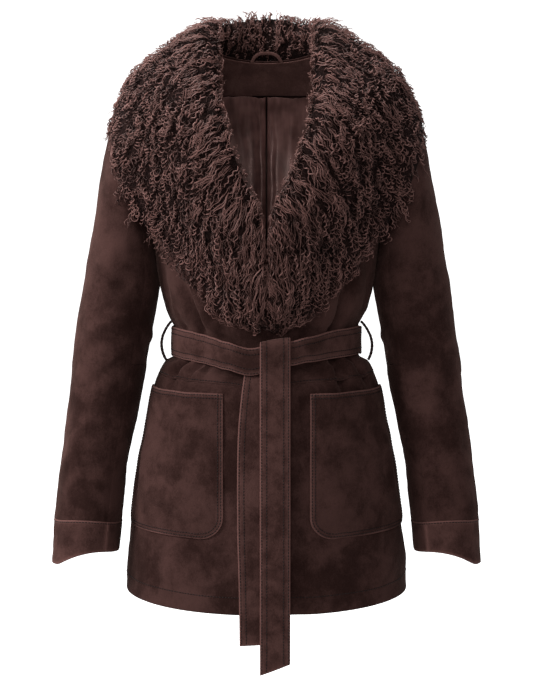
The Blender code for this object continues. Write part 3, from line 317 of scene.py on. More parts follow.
# Cord belt loops at the side seams
LOOP_RADIUS = 0.0011
LOOP_BULGE = 0.0100
LOOP_HIGH, LOOP_LOW = -0.3625, -0.4165
LOOP_ROUNDNESS = 0.8
CORD_FULLNESS, CORD_TWIST, CORD_APART = 1.6, 34, 0.35

# Fineness of the meshes, in metres between points
CLOTH_STEP = 0.0058
BACK_STEP = 0.0078
FRONT_STEP = 0.0040
NARROWEST_SHEET = 0.010
BORDER_WIDTH = 0.0035
BACK_WIDTH, FRONT_WIDTH, SEAM_HOLD = 0.42, 0.20, 0.004

# Topstitching
STITCH_LENGTH, STITCH_PITCH, STITCH_RADIUS = 0.0029, 0.0042, 0.00062
STITCH_START, STITCH_FLAT, STITCH_STAND = 0.15, 0.6, 0.25
STITCH_ROWS = (0.0028, 0.0070)
HEM_ROW = 0.024
BELT_ROWS = (0.0026, 0.0092)

# Radii that turn an angle round the body or a sleeve into a length across the cloth
BODY_RADIUS, SLEEVE_RADIUS = 0.145, 0.058

# How a crease fades at its ends, as shares of its length, and how it wanders from its line
CREASE_START, CREASE_END = (-0.2, 0.35), (0.55, 1.15)
WANDER, WANDER_RATE, WANDER_SHIFT = 0.3, 90, 400

# How uneven each cloth is, as height and size: broad waves and, on some, fine ripples on top
PANEL_WAVES, PANEL_RIPPLES = (0.0011, 0.075), (0.0004, 0.022)
SLEEVE_WAVES, SLEEVE_RIPPLES = (0.0010, 0.070), (0.0004, 0.020)
POCKET_WAVES, FACING_WAVES = (0.0009, 0.050), (0.0005, 0.030)
RIPPLE_HOLD, FACING_HOLD = 0.006, 0.004

# Creases as soft ridges and troughs: from one point to another across and along the cloth
Crease = namedtuple("Crease", "across along across_end along_end width height")
BODY_CREASES = (
    Crease(-0.116, -0.300, -0.096, -0.392, 0.0074, -0.0118),
    Crease(-0.086, -0.310, -0.078, -0.390, 0.0100, 0.0030),
    Crease(-0.131, -0.300, -0.116, -0.388, 0.0100, 0.0028),
    Crease(-0.060, -0.335, -0.058, -0.390, 0.0080, -0.0026),
    Crease(-0.146, -0.330, -0.150, -0.388, 0.0075, -0.0030),
    Crease(0.118, -0.298, 0.101, -0.392, 0.0080, -0.0122),
    Crease(0.086, -0.312, 0.080, -0.390, 0.0100, 0.0030),
    Crease(0.134, -0.302, 0.120, -0.388, 0.0100, 0.0026),
    Crease(0.060, -0.335, 0.056, -0.390, 0.0080, -0.0024),
    Crease(-0.180, -0.345, -0.165, -0.250, 0.0120, -0.0036),
    Crease(0.178, -0.345, 0.163, -0.260, 0.0120, -0.0034),
    Crease(-0.138, -0.386, -0.143, -0.446, 0.0070, -0.0100),
    Crease(-0.124, -0.388, -0.124, -0.440, 0.0080, 0.0030),
    Crease(-0.104, -0.388, -0.107, -0.440, 0.0064, -0.0070),
    Crease(-0.086, -0.388, -0.087, -0.430, 0.0066, -0.0076),
    Crease(-0.062, -0.392, -0.060, -0.430, 0.0070, -0.0022),
    Crease(0.114, -0.384, 0.099, -0.452, 0.0086, -0.0140),
    Crease(0.096, -0.388, 0.084, -0.440, 0.0080, 0.0030),
    Crease(0.128, -0.388, 0.134, -0.440, 0.0080, 0.0026),
    Crease(0.146, -0.384, 0.163, -0.448, 0.0076, -0.0115),
    Crease(0.070, -0.390, 0.071, -0.432, 0.0070, -0.0028),
    Crease(-0.058, -0.470, -0.050, -0.640, 0.0140, 0.0022),
    Crease(0.062, -0.480, 0.056, -0.650, 0.0140, -0.0022),
    Crease(-0.230, -0.450, -0.250, -0.700, 0.0180, 0.0028),
    Crease(0.235, -0.460, 0.252, -0.690, 0.0160, -0.0026),
    Crease(-0.120, -0.650, -0.128, -0.735, 0.0150, -0.0028),
    Crease(0.118, -0.655, 0.130, -0.738, 0.0150, 0.0024),
    Crease(-0.360, -0.350, -0.345, -0.200, 0.0110, -0.0046),
    Crease(0.355, -0.350, 0.335, -0.215, 0.0110, -0.0046),
    Crease(-0.405, -0.345, -0.415, -0.250, 0.0100, 0.0038),
    Crease(0.400, -0.345, 0.418, -0.235, 0.0100, 0.0038),
    Crease(-0.330, -0.430, -0.350, -0.640, 0.0150, -0.0040),
    Crease(0.338, -0.430, 0.362, -0.660, 0.0150, -0.0038),
    Crease(-0.405, -0.430, -0.412, -0.600, 0.0130, 0.0036),
    Crease(0.410, -0.430, 0.405, -0.620, 0.0130, 0.0034),
    Crease(-0.300, -0.120, -0.360, -0.190, 0.0120, 0.0028),
    Crease(0.300, -0.130, 0.352, -0.200, 0.0120, 0.0028),
)
SLEEVE_SEAM_HOLD = 0.010
OUTER_COLUMNS, UNDER_COLUMNS, CUFF_COLUMNS = 46, 20, 64
CUFF_CORNER, CUFF_CORNER_WIDTH = 0.0068, 0.0080
TUCK, TUCK_LOW, TUCK_HIGH = 0.0040, (-0.345, -0.295), (-0.215, -0.190)
SLEEVE_CREASES = (
    Crease(0.120, 0.205, 0.050, 0.262, 0.0075, 0.0028),
    Crease(0.118, 0.232, 0.040, 0.292, 0.0080, -0.0026),
    Crease(0.125, 0.262, 0.066, 0.305, 0.0065, 0.0024),
    Crease(0.122, 0.290, 0.052, 0.330, 0.0070, -0.0022),
    Crease(0.112, 0.150, 0.072, 0.215, 0.0090, -0.0024),
    Crease(0.105, 0.110, 0.060, 0.180, 0.0100, 0.0022),
    Crease(0.030, 0.300, -0.020, 0.380, 0.0130, -0.0020),
    Crease(0.090, 0.360, 0.030, 0.450, 0.0130, 0.0020),
    Crease(0.100, 0.420, 0.060, 0.520, 0.0110, -0.0018),
    Crease(0.000, 0.440, 0.012, 0.545, 0.0120, 0.0018),
    Crease(0.150, 0.225, 0.215, 0.265, 0.0075, 0.0026),
    Crease(0.148, 0.255, 0.225, 0.300, 0.0080, -0.0026),
    Crease(-0.040, 0.260, -0.095, 0.300, 0.0090, -0.0026),
    Crease(-0.030, 0.300, -0.090, 0.345, 0.0090, 0.0022),
    Crease(-0.060, 0.120, -0.085, 0.210, 0.0120, -0.0026),
    Crease(-0.050, 0.400, -0.070, 0.520, 0.0130, 0.0020),
)
POCKET_CREASES = (
    Crease(0.050, 0.060, 0.046, 0.150, 0.0070, 0.0024),
    Crease(0.064, 0.040, 0.058, 0.120, 0.0080, -0.0020),
    Crease(-0.030, 0.020, 0.020, 0.055, 0.0110, -0.0016),
    Crease(-0.050, 0.120, -0.010, 0.165, 0.0120, 0.0014),
)
LINING_CREASES = (
    Crease(-0.0060, -0.052, -0.0030, -0.330, 0.0030, -0.0028),
    Crease(0.0055, -0.052, 0.0050, -0.330, 0.0030, -0.0028),
    Crease(-0.030, -0.048, -0.024, -0.150, 0.0050, -0.0020),
    Crease(0.028, -0.048, 0.026, -0.140, 0.0050, -0.0018),
    Crease(0.052, -0.046, 0.044, -0.125, 0.0055, -0.0016),
    Crease(-0.054, -0.046, -0.046, -0.120, 0.0055, -0.0016),
)


# Two lips beside the lining's pleat
Lip = namedtuple("Lip", "across width height")
LIPS = (Lip(0.004, 0.007, 0.0046), Lip(-0.024, 0.016, 0.0056))


class Finish(Enum):
    """The finishes, by the material slot that each belongs to."""

    SUEDE = "suede"
    FUR = "fur"
    SATIN = "satin"


def eased(value: Array | float, low: float, high: float) -> Array:
    """The share of the way from low to high, eased at both ends."""
    part = np.clip((np.asarray(value) - low) / (high - low), 0.0, 1.0)
    return part * part * (3 - 2 * part)


def squared(value: Array, squareness: float) -> Array:
    """A sine or cosine reshaped so that a circle becomes a squared oval."""
    return np.sign(value) * np.abs(value) ** (2 / squareness)


def bell(distance: Array, width: float) -> Array:
    """A soft bell: one at no distance, nearly nothing at twice the width."""
    return np.exp(-((distance / width) ** 2))


def wrapped(angle: Array) -> Array:
    """An angle from minus half a turn to half a turn."""
    return (angle + pi) % (2 * pi) - pi


def xyz(x: Array | float, y: Array | float, z: Array | float) -> Array:
    """Points from their three coordinates."""
    return np.stack(np.broadcast_arrays(x, y, z), axis=-1)


def unit(ways: Array) -> Array:
    """Directions of length one."""
    return ways / np.maximum(np.linalg.norm(ways, axis=-1, keepdims=True), TINY)


def between(table: Points, key: Array) -> Array:
    """The second column of a two-column table at values of the first, eased between rows."""
    rows = np.array(table)
    index = np.clip(np.searchsorted(rows[:, 0], key) - 1, 0, len(rows) - 2)
    low, high = rows[index], rows[index + 1]
    return low[..., 1] + (high[..., 1] - low[..., 1]) * eased(key, low[..., 0], high[..., 0])


def lengths(points: Array, axis: int) -> Array:
    """Distances run along one axis of a grid of points, from its first line.

    Args:
        points: the grid, rows by columns by three.
        axis: 0 to go up the rows, 1 to go across the columns.

    Returns:
        The distance at each point of the grid.
    """
    steps = np.linalg.norm(np.diff(points, axis=axis), axis=-1)
    start = np.zeros_like(np.take(steps, [0], axis=axis))
    return np.cumsum(np.concatenate([start, steps], axis=axis), axis=axis)


def from_sides(points: Array) -> Array:
    """How far each point of a grid lies from the nearer of its two side edges."""
    across = lengths(points, 1)
    return np.minimum(across, across[:, -1:] - across)


def from_edges(points: Array) -> Array:
    """How far each point of a grid lies from its nearest edge."""
    along = lengths(points, 0)
    return np.minimum(from_sides(points), np.minimum(along, along[-1:] - along))


def normals_of(points: Array) -> Array:
    """Unit normals of a grid of points, along across x up."""
    return unit(np.cross(np.gradient(points, axis=1), np.gradient(points, axis=0)))


def smooth(grid: Array, axis: int = 0) -> None:
    """Moves each inner point of a grid towards the middle of its neighbours along one axis."""
    lines = np.moveaxis(grid, axis, 0)
    lines[1:-1] = (lines[:-2] + 2 * lines[1:-1] + lines[2:]) / 4


def crease_height(across: Array, along: Array, creases: Iterable[Crease]) -> Array:
    """The height of all creases over points of a cloth's plane.

    Args:
        across: place across the cloth, in metres.
        along: place along it.
        creases: the creases to add up.

    Returns:
        The height at each point, positive outwards.
    """
    total = np.zeros(np.broadcast(across, along).shape)
    for crease in creases:
        run = (crease.across_end - crease.across, crease.along_end - crease.along)
        size = float(np.hypot(*run))
        ahead = ((across - crease.across) * run[0] + (along - crease.along) * run[1]) / size
        aside = ((across - crease.across) * run[1] - (along - crease.along) * run[0]) / size
        start, end = (eased(ahead, low * size, high * size) for low, high in (CREASE_START, CREASE_END))
        wander = WANDER * crease.width * np.sin(ahead * WANDER_RATE + crease.across * WANDER_SHIFT)
        total += crease.height * start * (1 - end) * bell(aside + wander, crease.width)
    return total


def unevenness(points: Array, size: float, seed: int) -> Array:
    """A soft irregular wave over points in space, from about -1 to 1.

    Args:
        points: places, three to a point.
        size: the usual distance between crests, in metres.
        seed: which pattern.

    Returns:
        The wave at each place.
    """
    random = np.random.default_rng(seed)
    waves = 7
    total = np.zeros(points.shape[:-1])
    for _ in range(waves):
        way = random.normal(size=3)
        way *= 2 * pi / size * random.uniform(0.7, 1.5) / np.linalg.norm(way)
        total += np.sin(points @ way + random.uniform(0, 2 * pi))
    return total * 2 / waves


class SmoothTable:
    """Rows of numbers joined by a smooth cubic through them all."""

    def __init__(self, rows: Points | Array, places: Points) -> None:
        """Keeps the rows, spaced by the distances between their places."""
        self.rows = np.array(rows, float)
        steps = np.linalg.norm(np.diff(np.array(places, float), axis=0), axis=1)
        self.stops = np.concatenate([[0.0], np.cumsum(steps)])
        count = len(self.rows)
        low, high = np.maximum(np.arange(count) - 1, 0), np.minimum(np.arange(count) + 1, count - 1)
        run = (self.stops[high] - self.stops[low]).reshape(-1, *[1] * (self.rows.ndim - 1))
        self.slopes = (self.rows[high] - self.rows[low]) / run

    def at(self, position: Array | float) -> Array:
        """The row at fractional row numbers."""
        position = np.asarray(position, float)
        index = np.clip(np.floor(position).astype(int), 0, len(self.rows) - 2)
        shape = position.shape + (1,) * (self.rows.ndim - 1)
        part = (position - index).reshape(shape)
        span = (self.stops[index + 1] - self.stops[index]).reshape(shape)
        start, end = self.rows[index], self.rows[index + 1]
        leave, arrive = self.slopes[index] * span, self.slopes[index + 1] * span
        return (
            (1 + 2 * part) * (1 - part) ** 2 * start
            + part * (1 - part) ** 2 * leave
            + part**2 * (3 - 2 * part) * end
            + part**2 * (part - 1) * arrive
        )

    def evenly(self, first: float, last: float, step: float) -> Array:
        """Fractional row numbers from first to last, about one step of distance apart."""
        numbers = np.arange(len(self.stops))
        low, high = np.interp([first, last], numbers, self.stops)
        count = max(int(round(abs(high - low) / step)), 2) + 1
        inside = np.interp(np.linspace(low, high, count), self.stops, numbers)
        inside[0], inside[-1] = first, last
        return inside


BODY = SmoothTable(LEVELS, [(row.half_width, row.z_side) for row in LEVELS])


def step_along(level: float, distance: float) -> float:
    """The level reached by going a real distance up the coat's side from a level."""
    index = min(int(level), len(LEVELS) - 2)
    if distance < 0 and level == index:
        index -= 1
    return level + distance / (BODY.stops[index + 1] - BODY.stops[index])


def turn_of(angle: Array) -> Array:
    """An angle in degrees, from -180 to 180."""
    return (np.asarray(angle) / pi * 180 + 180) % 360 - 180


def waist_drop(angle: Array, z: Array) -> Array:
    """How far a point near the waist is pulled down by the slanted belt."""
    reach = np.minimum(np.abs(z - WAIST_Z) / SLANT_REACH, 1.0)
    return between(SLANTS, turn_of(angle)) * (1 - eased(reach, SLANT_HOLD, 1.0))


def fold_height(angle: Array, z: Array) -> Array:
    """How far the folds gathered by the belt lift the cloth outwards."""
    turn = turn_of(angle)
    total = np.zeros(np.broadcast(turn, z).shape)
    for fold in FOLDS:
        run = (z - WAIST_Z) if fold.upward else (WAIST_Z - z)
        end = fold.length + BAND_HALF_HEIGHT
        rise = eased(run, FOLD_START, FOLD_FULL) * (1 - eased(run, BAND_HALF_HEIGHT, end))
        total += fold.height * rise * bell(turn - fold.angle, fold.width)
    return total


def torso_point(angle: Array, level: Array) -> Array:
    """Points of the coat's outer face. The angle runs from the centre front to the wearer's left."""
    z_side, z_front, z_back, half_width, depth_front, depth_back = np.moveaxis(BODY.at(level), -1, 0)
    forward, sideways = np.cos(angle), np.sin(angle)
    depth = np.where(forward > 0, depth_front, depth_back)
    z_end = np.where(forward > 0, z_front, z_back)
    z = z_side + (z_end - z_side) * forward**2
    lift = fold_height(angle, z)
    return xyz(
        (half_width + lift) * squared(sideways, SQUARENESS),
        -(depth + lift) * squared(forward, SQUARENESS),
        z - waist_drop(angle, z),
    )


def level_at(z: Array, angle: Array, top: float = SHOULDER) -> Array:
    """The levels whose outer face is at some heights, by halving the range below the top."""
    z, angle = np.broadcast_arrays(np.asarray(z, float), angle)
    low, high = np.full(z.shape, float(HEM)), np.full(z.shape, float(top))
    for _ in range(26):
        middle = (low + high) / 2
        under = torso_point(angle, middle)[..., 2] < z
        low, high = np.where(under, middle, low), np.where(under, high, middle)
    return (low + high) / 2


def angle_at(x: Array, level: Array) -> Array:
    """The angle on the front at which the body ring is at a distance from the centre."""
    half_width = BODY.at(level)[..., 3]
    return np.sign(x) * np.arcsin(np.minimum(np.abs(x) / half_width, 1.0) ** (SQUARENESS / 2))


def front_edge_angle(level: Array) -> Array:
    """The angle of a front panel's free edge: the roll line, then the lap past the centre."""
    z = BODY.at(level)[..., 0]
    for _ in range(8):
        angle = angle_at(between(FRONT_EDGE, z), level)
        z = torso_point(angle, level)[..., 2]
    return angle


def armhole_angle(level: Array, widest: float) -> Array:
    """How far from the side seam the armhole's edge lies at some levels."""
    part = np.clip((level - UNDERARM) / (SHOULDER - UNDERARM), 0.0, 1.0)
    peak = ARMHOLE_LOW_POWER / (ARMHOLE_LOW_POWER + ARMHOLE_HIGH_POWER)
    shape = part**ARMHOLE_LOW_POWER * (1 - part) ** ARMHOLE_HIGH_POWER
    return widest * shape / (peak**ARMHOLE_LOW_POWER * (1 - peak) ** ARMHOLE_HIGH_POWER)


def side_angle(level: Array, widest: float) -> Array:
    """The angle, from the front or the back, of a panel's side edge: side seam, armhole, shoulder."""
    ring = BODY.at(level)
    half_seam = CLOSED_GAP / ((ring[..., 3] + ring[..., 4]) / 2)
    return pi / 2 - armhole_angle(level, widest) - half_seam


def armhole_point(side: int, turn: Array) -> Array:
    """The start of a sleeve, just off the panels' armhole edge. Turn runs from the top to the front."""
    level = UNDERARM + (SHOULDER - UNDERARM) * (1 + np.cos(turn)) / 2
    forward = np.sin(turn) >= 0

    def edge(at_level: Array) -> Array:
        """The angle of the armhole's edge."""
        front = pi / 2 - armhole_angle(at_level, ARMHOLE_FRONT)
        return np.where(forward, front, pi / 2 + armhole_angle(at_level, ARMHOLE_BACK))

    angle = edge(level)
    normal = torso_normal(angle, level)
    near = np.clip(level, UNDERARM + NEAR_LEVEL, SHOULDER - NEAR_LEVEL)
    above, below = near + NEAR_LEVEL, near - NEAR_LEVEL
    along = torso_point(edge(above), above) - torso_point(edge(below), below)
    away = np.cross(along, normal) * np.where(forward, 1, -1)[..., None]
    turned = (away[..., 0] < 0) & (level < SHOULDER - 1)
    away[..., 0] = np.where(turned, np.abs(away[..., 0]), away[..., 0])
    return (torso_point(angle, level) + unit(away) * HEAD_GAP + normal * HEAD_LIFT) * (side, 1, 1)


def torso_normal(angle: Array, level: Array) -> Array:
    """The outward normals of the coat's outer face."""
    inside = np.clip(level, NEAR_LEVEL, NECK - NEAR_LEVEL)
    across = torso_point(angle + NEAR_ANGLE, inside) - torso_point(angle - NEAR_ANGLE, inside)
    up = torso_point(angle, inside + NEAR_LEVEL) - torso_point(angle, inside - NEAR_LEVEL)
    return unit(np.cross(across, up))


def sleeve_rings(side: int, turn: Array) -> Array:
    """Points of every sleeve ring at some turns: rings by turns by three."""
    rows = np.array(RINGS)[:, None, :]
    outer_x, outer_z, inner_x, inner_z, y_middle, half_depth, front_rise, back_rise = np.moveaxis(rows, -1, 0)
    across, deep = squared(np.cos(turn), SLEEVE_SQUARENESS), squared(np.sin(turn), SLEEVE_SQUARENESS)
    rise = front_rise * np.maximum(np.sin(turn), 0) ** 2 + back_rise * np.maximum(-np.sin(turn), 0) ** 2
    points = xyz(
        side * ((outer_x + inner_x) / 2 + (outer_x - inner_x) / 2 * across),
        y_middle - half_depth * deep,
        (outer_z + inner_z) / 2 + (outer_z - inner_z) / 2 * across + rise,
    )
    points[0] = armhole_point(side, turn)
    return points


SLEEVE_PLACES = [
    ((row.outer_x + row.inner_x) / 2, row.y_middle, (row.outer_z + row.inner_z) / 2) for row in RINGS
]
SLEEVE = SmoothTable(RINGS, SLEEVE_PLACES)
COLLAR = SmoothTable(STATIONS, (np.array(STATIONS)[:, 0:3] + np.array(STATIONS)[:, 3:6]) / 2)


def sleeve_points(side: int, turns: Array, stations: Array) -> Array:
    """Points of the sleeve's outer face: stations by turns by three."""
    return SmoothTable(sleeve_rings(side, turns), SLEEVE_PLACES).at(stations)


def mesh_of(bm: bmesh.types.BMesh, name: str) -> bpy.types.Mesh:
    """Turns finished mesh work into a mesh."""
    mesh = bpy.data.meshes.new(name)
    bm.to_mesh(mesh)
    bm.free()
    return mesh


def grid_mesh(name: str, points: Array, flipped: bool) -> bpy.types.Mesh:
    """A mesh stretched over a grid of points, with a map in metres and how near each point is to an edge.

    Args:
        name: the mesh's name.
        points: the grid, rows by columns by three.
        flipped: whether along across x up points into the cloth.

    Returns:
        The mesh, its faces pointing out of the cloth.
    """
    rows, columns = points.shape[:2]
    bm = bmesh.new()
    bmesh.ops.create_grid(bm, x_segments=columns - 1, y_segments=rows - 1, size=1)
    if flipped:
        bmesh.ops.reverse_faces(bm, faces=bm.faces)
    mesh = mesh_of(bm, name)
    flat = np.empty(len(mesh.vertices) * 3, np.float32)
    mesh.vertices.foreach_get("co", flat)
    column, row, _ = np.rint((flat.reshape(-1, 3) + 1) / 2 * (columns - 1, rows - 1, 0)).astype(int).T
    mesh.vertices.foreach_set("co", points[row, column].astype(np.float32).ravel())
    across, along = lengths(points, 1), lengths(points, 0).mean(axis=1, keepdims=True)
    on_map = np.stack(np.broadcast_arrays(across - across[:, -1:] / 2, along), axis=-1)
    corners = np.empty(len(mesh.loops), np.int32)
    mesh.loops.foreach_get("vertex_index", corners)
    layer = mesh.uv_layers.new(name="UVMap")
    layer.data.foreach_set("uv", on_map[row, column][corners].astype(np.float32).ravel())
    border = mesh.attributes.new("border", "FLOAT", "POINT")
    nearness = np.exp(-from_edges(points) / BORDER_WIDTH)
    border.data.foreach_set("value", nearness[row, column].astype(np.float32))
    mesh.shade_smooth()
    return mesh


def joined_copies(name: str, template: bpy.types.Mesh, places: Array) -> bpy.types.Mesh:
    """Many copies of a small mesh joined into one.

    Args:
        name: the new mesh's name.
        template: the mesh to repeat.
        places: the points of every copy, copies by template points by three.

    Returns:
        The joined mesh.
    """
    copies, count = places.shape[:2]
    corners = np.empty(len(template.loops), np.int32)
    template.loops.foreach_get("vertex_index", corners)
    starts = np.empty(len(template.polygons), np.int32)
    template.polygons.foreach_get("loop_start", starts)
    steps = np.arange(copies, dtype=np.int32)[:, None]
    mesh = bpy.data.meshes.new(name)
    mesh.vertices.add(copies * count)
    mesh.loops.add(copies * len(corners))
    mesh.polygons.add(copies * len(starts))
    mesh.vertices.foreach_set("co", places.astype(np.float32).ravel())
    mesh.loops.foreach_set("vertex_index", (corners + steps * count).ravel())
    mesh.polygons.foreach_set("loop_start", (starts + steps * len(corners)).ravel())
    mesh.update(calc_edges=True)
    mesh.shade_smooth()
    return mesh


def put_in_scene(mesh: bpy.types.Mesh, material: bpy.types.Material) -> bpy.types.Object:
    """Makes the object of a finished mesh."""
    mesh.materials.append(material)
    obj = bpy.data.objects.new(mesh.name, mesh)
    bpy.context.scene.collection.objects.link(obj)
    return obj


class Value:
    """A number or a socket in a shader, on which sums are written as ordinary expressions."""

    def __init__(self, shader: "Shader", socket: bpy.types.NodeSocket) -> None:
        """Wraps one output socket."""
        self.shader = shader
        self.socket = socket

    def _sum(self, operation: str, *terms: "Value | float") -> "Value":
        """One Math node over some terms."""
        return self.shader.node("ShaderNodeMath", {"operation": operation}, dict(enumerate(terms)))

    def __add__(self, other: "Value | float") -> "Value":
        """self + other."""
        return self._sum("ADD", self, other)

    __radd__ = __add__

    def __sub__(self, other: "Value | float") -> "Value":
        """self - other."""
        return self._sum("SUBTRACT", self, other)

    def __rsub__(self, other: "Value | float") -> "Value":
        """other - self."""
        return self._sum("SUBTRACT", other, self)

    def __mul__(self, other: "Value | float") -> "Value":
        """self * other."""
        return self._sum("MULTIPLY", self, other)

    __rmul__ = __mul__

    def kept(self, low: float = 0.0, high: float = 1.0) -> "Value":
        """The value kept between two ends and stretched from 0 to 1, eased."""
        return self.shader.node(
            "ShaderNodeMapRange",
            {"interpolation_type": "SMOOTHSTEP"},
            {"Value": self, "From Min": low, "From Max": high},
        )


class Shader:
    """One material's nodes, built through a few plain calls."""

    def __init__(self, name: str) -> None:
        """Starts a material that holds only its surface shader."""
        self.material = bpy.data.materials.new(name)
        self.material.use_nodes = True
        self.tree = self.material.node_tree
        self.surface = self.tree.nodes["Principled BSDF"]

    def node(self, kind: str, settings: dict, inputs: dict, output: str | int = 0) -> Value:
        """Adds one node.

        Args:
            kind: the node's type.
            settings: its own settings, set first.
            inputs: values or links by socket name or number.
            output: the output to hand back.

        Returns:
            The output, for use in expressions.
        """
        node = self.tree.nodes.new(kind)
        for key, value in settings.items():
            setattr(node, key, value)
        for key, value in inputs.items():
            if isinstance(value, Value):
                self.tree.links.new(value.socket, node.inputs[key])
            else:
                node.inputs[key].default_value = value
        return Value(self, node.outputs[output])

    def place(self) -> Value:
        """The point on the object."""
        return self.node("ShaderNodeTexCoord", {}, {}, "Object")

    def map(self) -> Value:
        """The piece's own map, in metres."""
        return self.node("ShaderNodeUVMap", {"uv_map": "UVMap"}, {})

    def attribute(self, name: str) -> Value:
        """One of the mesh's own numbers."""
        return self.node("ShaderNodeAttribute", {"attribute_name": name}, {}, "Fac")

    def stretched(self, place: Value, scale: Sequence[float]) -> Value:
        """A place scaled along its axes."""
        return self.node("ShaderNodeMapping", {}, {"Vector": place, "Scale": scale})

    def noise(
        self, place: Value, scale: float, detail: float = 2.0, rough: float = 0.5, warp: float = 0.0
    ) -> Value:
        """Soft noise, around a half."""
        inputs = {"Vector": place, "Scale": scale, "Detail": detail, "Roughness": rough, "Distortion": warp}
        return self.node("ShaderNodeTexNoise", {}, inputs)

    def mixed(self, share: Value, first: Colour | Value, second: Colour | Value) -> Value:
        """A colour between two."""
        ends = (colour if isinstance(colour, Value) else (*colour, 1) for colour in (first, second))
        return self.node("ShaderNodeMix", {"data_type": "RGBA"}, dict(zip((0, 6, 7), (share, *ends))), 2)

    def feed(self, values: dict[str, Value | float | tuple[float, ...]]) -> bpy.types.Material:
        """Links or sets sockets of the surface shader and hands back the material."""
        for socket, value in values.items():
            if isinstance(value, Value):
                self.tree.links.new(value.socket, self.surface.inputs[socket])
            else:
                self.surface.inputs[socket].default_value = value
        return self.material

    def bump(self, height: Value, distance: float, strength: float = 1.0) -> Value:
        """A normal pushed about by a height."""
        return self.node("ShaderNodeBump", {}, {"Height": height, "Distance": distance, "Strength": strength})


WARM, WARM_SATIN, WARM_SHEEN = (1.0, 0.66, 0.60, 1.0), (1.0, 0.70, 0.64, 1.0), (0.70, 0.42, 0.36, 1.0)
# How much lighter the suede's edges get, partly as wear and partly as painted highlight.
EDGE_WEAR_AND_HIGHLIGHT_GAIN = 2.0
# How narrow the painted shadow down the lining's pleat is.
PLEAT_SHADOW_SHARPNESS = 260000.0


@dataclass(frozen=True)
class TwoTone:
    """What every finish that runs between two colours has."""

    name: str
    dark: Colour
    light: Colour


@dataclass(frozen=True)
class Suede(TwoTone):
    """Brushed suede: cloudy patches where the nap lies one way or the other, a fine grain, and a lighter tone
    near the cut edges that is partly wear and partly painted highlight.
    """

    cloud: float = 17.0
    # How strongly the edges are lightened: partly wear, partly a painted highlight along them.
    edge_wear_and_highlight: float = 0.12

    def material(self) -> bpy.types.Material:
        """Builds the material."""
        shader = Shader(self.name)
        place = shader.place()
        along_nap = shader.stretched(place, (1.0, 1.0, 0.55))
        broad = shader.noise(place, scale=self.cloud * 0.8, warp=0.3)
        patches = shader.noise(place, scale=self.cloud * 2.8, detail=4.0, rough=0.62, warp=0.3)
        brushed = shader.noise(along_nap, scale=self.cloud * 15, detail=3.0, rough=0.6)
        grain = shader.noise(place, scale=600.0, rough=0.7)
        swept = (broad * 0.60 + patches * 0.40).kept(0.34, 0.68)
        share = swept * 0.74 + brushed * 0.40 + grain * 0.75 - 0.43
        # Painted highlight, partly wear: near the cut edges the colour runs to a much lighter tone.
        edge_wear_and_highlight_share = (shader.attribute("border") * self.edge_wear_and_highlight * (brushed + 0.4)).kept()
        edge_wear_and_highlight_colour = tuple(part * EDGE_WEAR_AND_HIGHLIGHT_GAIN for part in self.light)
        return shader.feed(
            {
                "Base Color": shader.mixed(
                    edge_wear_and_highlight_share, shader.mixed(share.kept(), self.dark, self.light), edge_wear_and_highlight_colour
                ),
                "Roughness": 0.97,
                "Specular IOR Level": 0.10,
                "Specular Tint": WARM,
                "Sheen Weight": 0.14,
                "Sheen Roughness": 0.4,
                "Sheen Tint": WARM_SHEEN,
                "Normal": shader.bump(grain * 0.7 + brushed * 0.5 + patches * 0.6, 0.0011, 0.55),
            }
        )


@dataclass(frozen=True)
class Satin(TwoTone):
    """Lining satin: smooth, with a fine twill, long soft gleams and a painted shadow down the middle of its
    open pleat.
    """

    # The colour of the painted shadow down the middle of the pleat.
    painted_pleat_shadow: Colour = (0.0030, 0.0012, 0.0010)

    def material(self) -> bpy.types.Material:
        """Builds the material."""
        shader = Shader(self.name)
        across, place = shader.map(), shader.place()
        streaks = shader.noise(shader.stretched(across, (1.0, 0.16, 1.0)), scale=150.0)
        weave = shader.noise(shader.stretched(across, (1.0, 0.3, 1.0)), scale=2200.0, detail=1.0)
        cloud = shader.noise(place, scale=35.0)
        share = (streaks * 0.3 + cloud * 0.7).kept(0.3, 0.7)
        # Painted shadow: a dark line down the lining's middle, where the pleat opens.
        middle = shader.node("ShaderNodeSeparateXYZ", {}, {"Vector": place}, "X")
        outside_pleat_shadow = (middle * middle * PLEAT_SHADOW_SHARPNESS).kept()
        satin = shader.mixed(share, self.dark, self.light)
        return shader.feed(
            {
                "Base Color": shader.mixed(outside_pleat_shadow, self.painted_pleat_shadow, satin),
                "Roughness": share * -0.10 + 0.38,
                "Specular IOR Level": 0.75,
                "Specular Tint": WARM_SATIN,
                "Normal": shader.bump(weave * 0.2 + streaks, 0.0008, 0.15),
            }
        )


@dataclass(frozen=True)
class Hair(TwoTone):
    """Curly lamb's hair: painted shade that darkens it the deeper it lies in the fur, a painted highlight of
    a lighter, warmer colour on the parts that stand highest, and no two locks alike.
    """

    # The colour of the painted highlight, on the parts that stand highest.
    tip: Colour

    def material(self) -> bpy.types.Material:
        """Builds the material."""
        shader = Shader(self.name)
        relief_light_and_shade, shade = shader.attribute("relief_light_and_shade"), shader.attribute("shade")
        fleck = shader.noise(shader.place(), scale=260.0, rough=0.6)
        # Painted shade: the deeper a point lies in the fur, the nearer its colour comes to the dark end.
        base = shader.mixed((relief_light_and_shade * 1.15 + fleck * 0.3 - 0.2).kept(), self.dark, self.light)
        # Painted highlight: the parts that stand highest take the light, warm tip colour.
        high = relief_light_and_shade * 1.5 + shade * 0.5 + fleck * 0.3 - 1.15
        return shader.feed(
            {
                "Base Color": shader.mixed(high.kept(), base, self.tip),
                "Roughness": 0.45,
                "Specular IOR Level": 0.45,
                "Specular Tint": WARM,
            }
        )


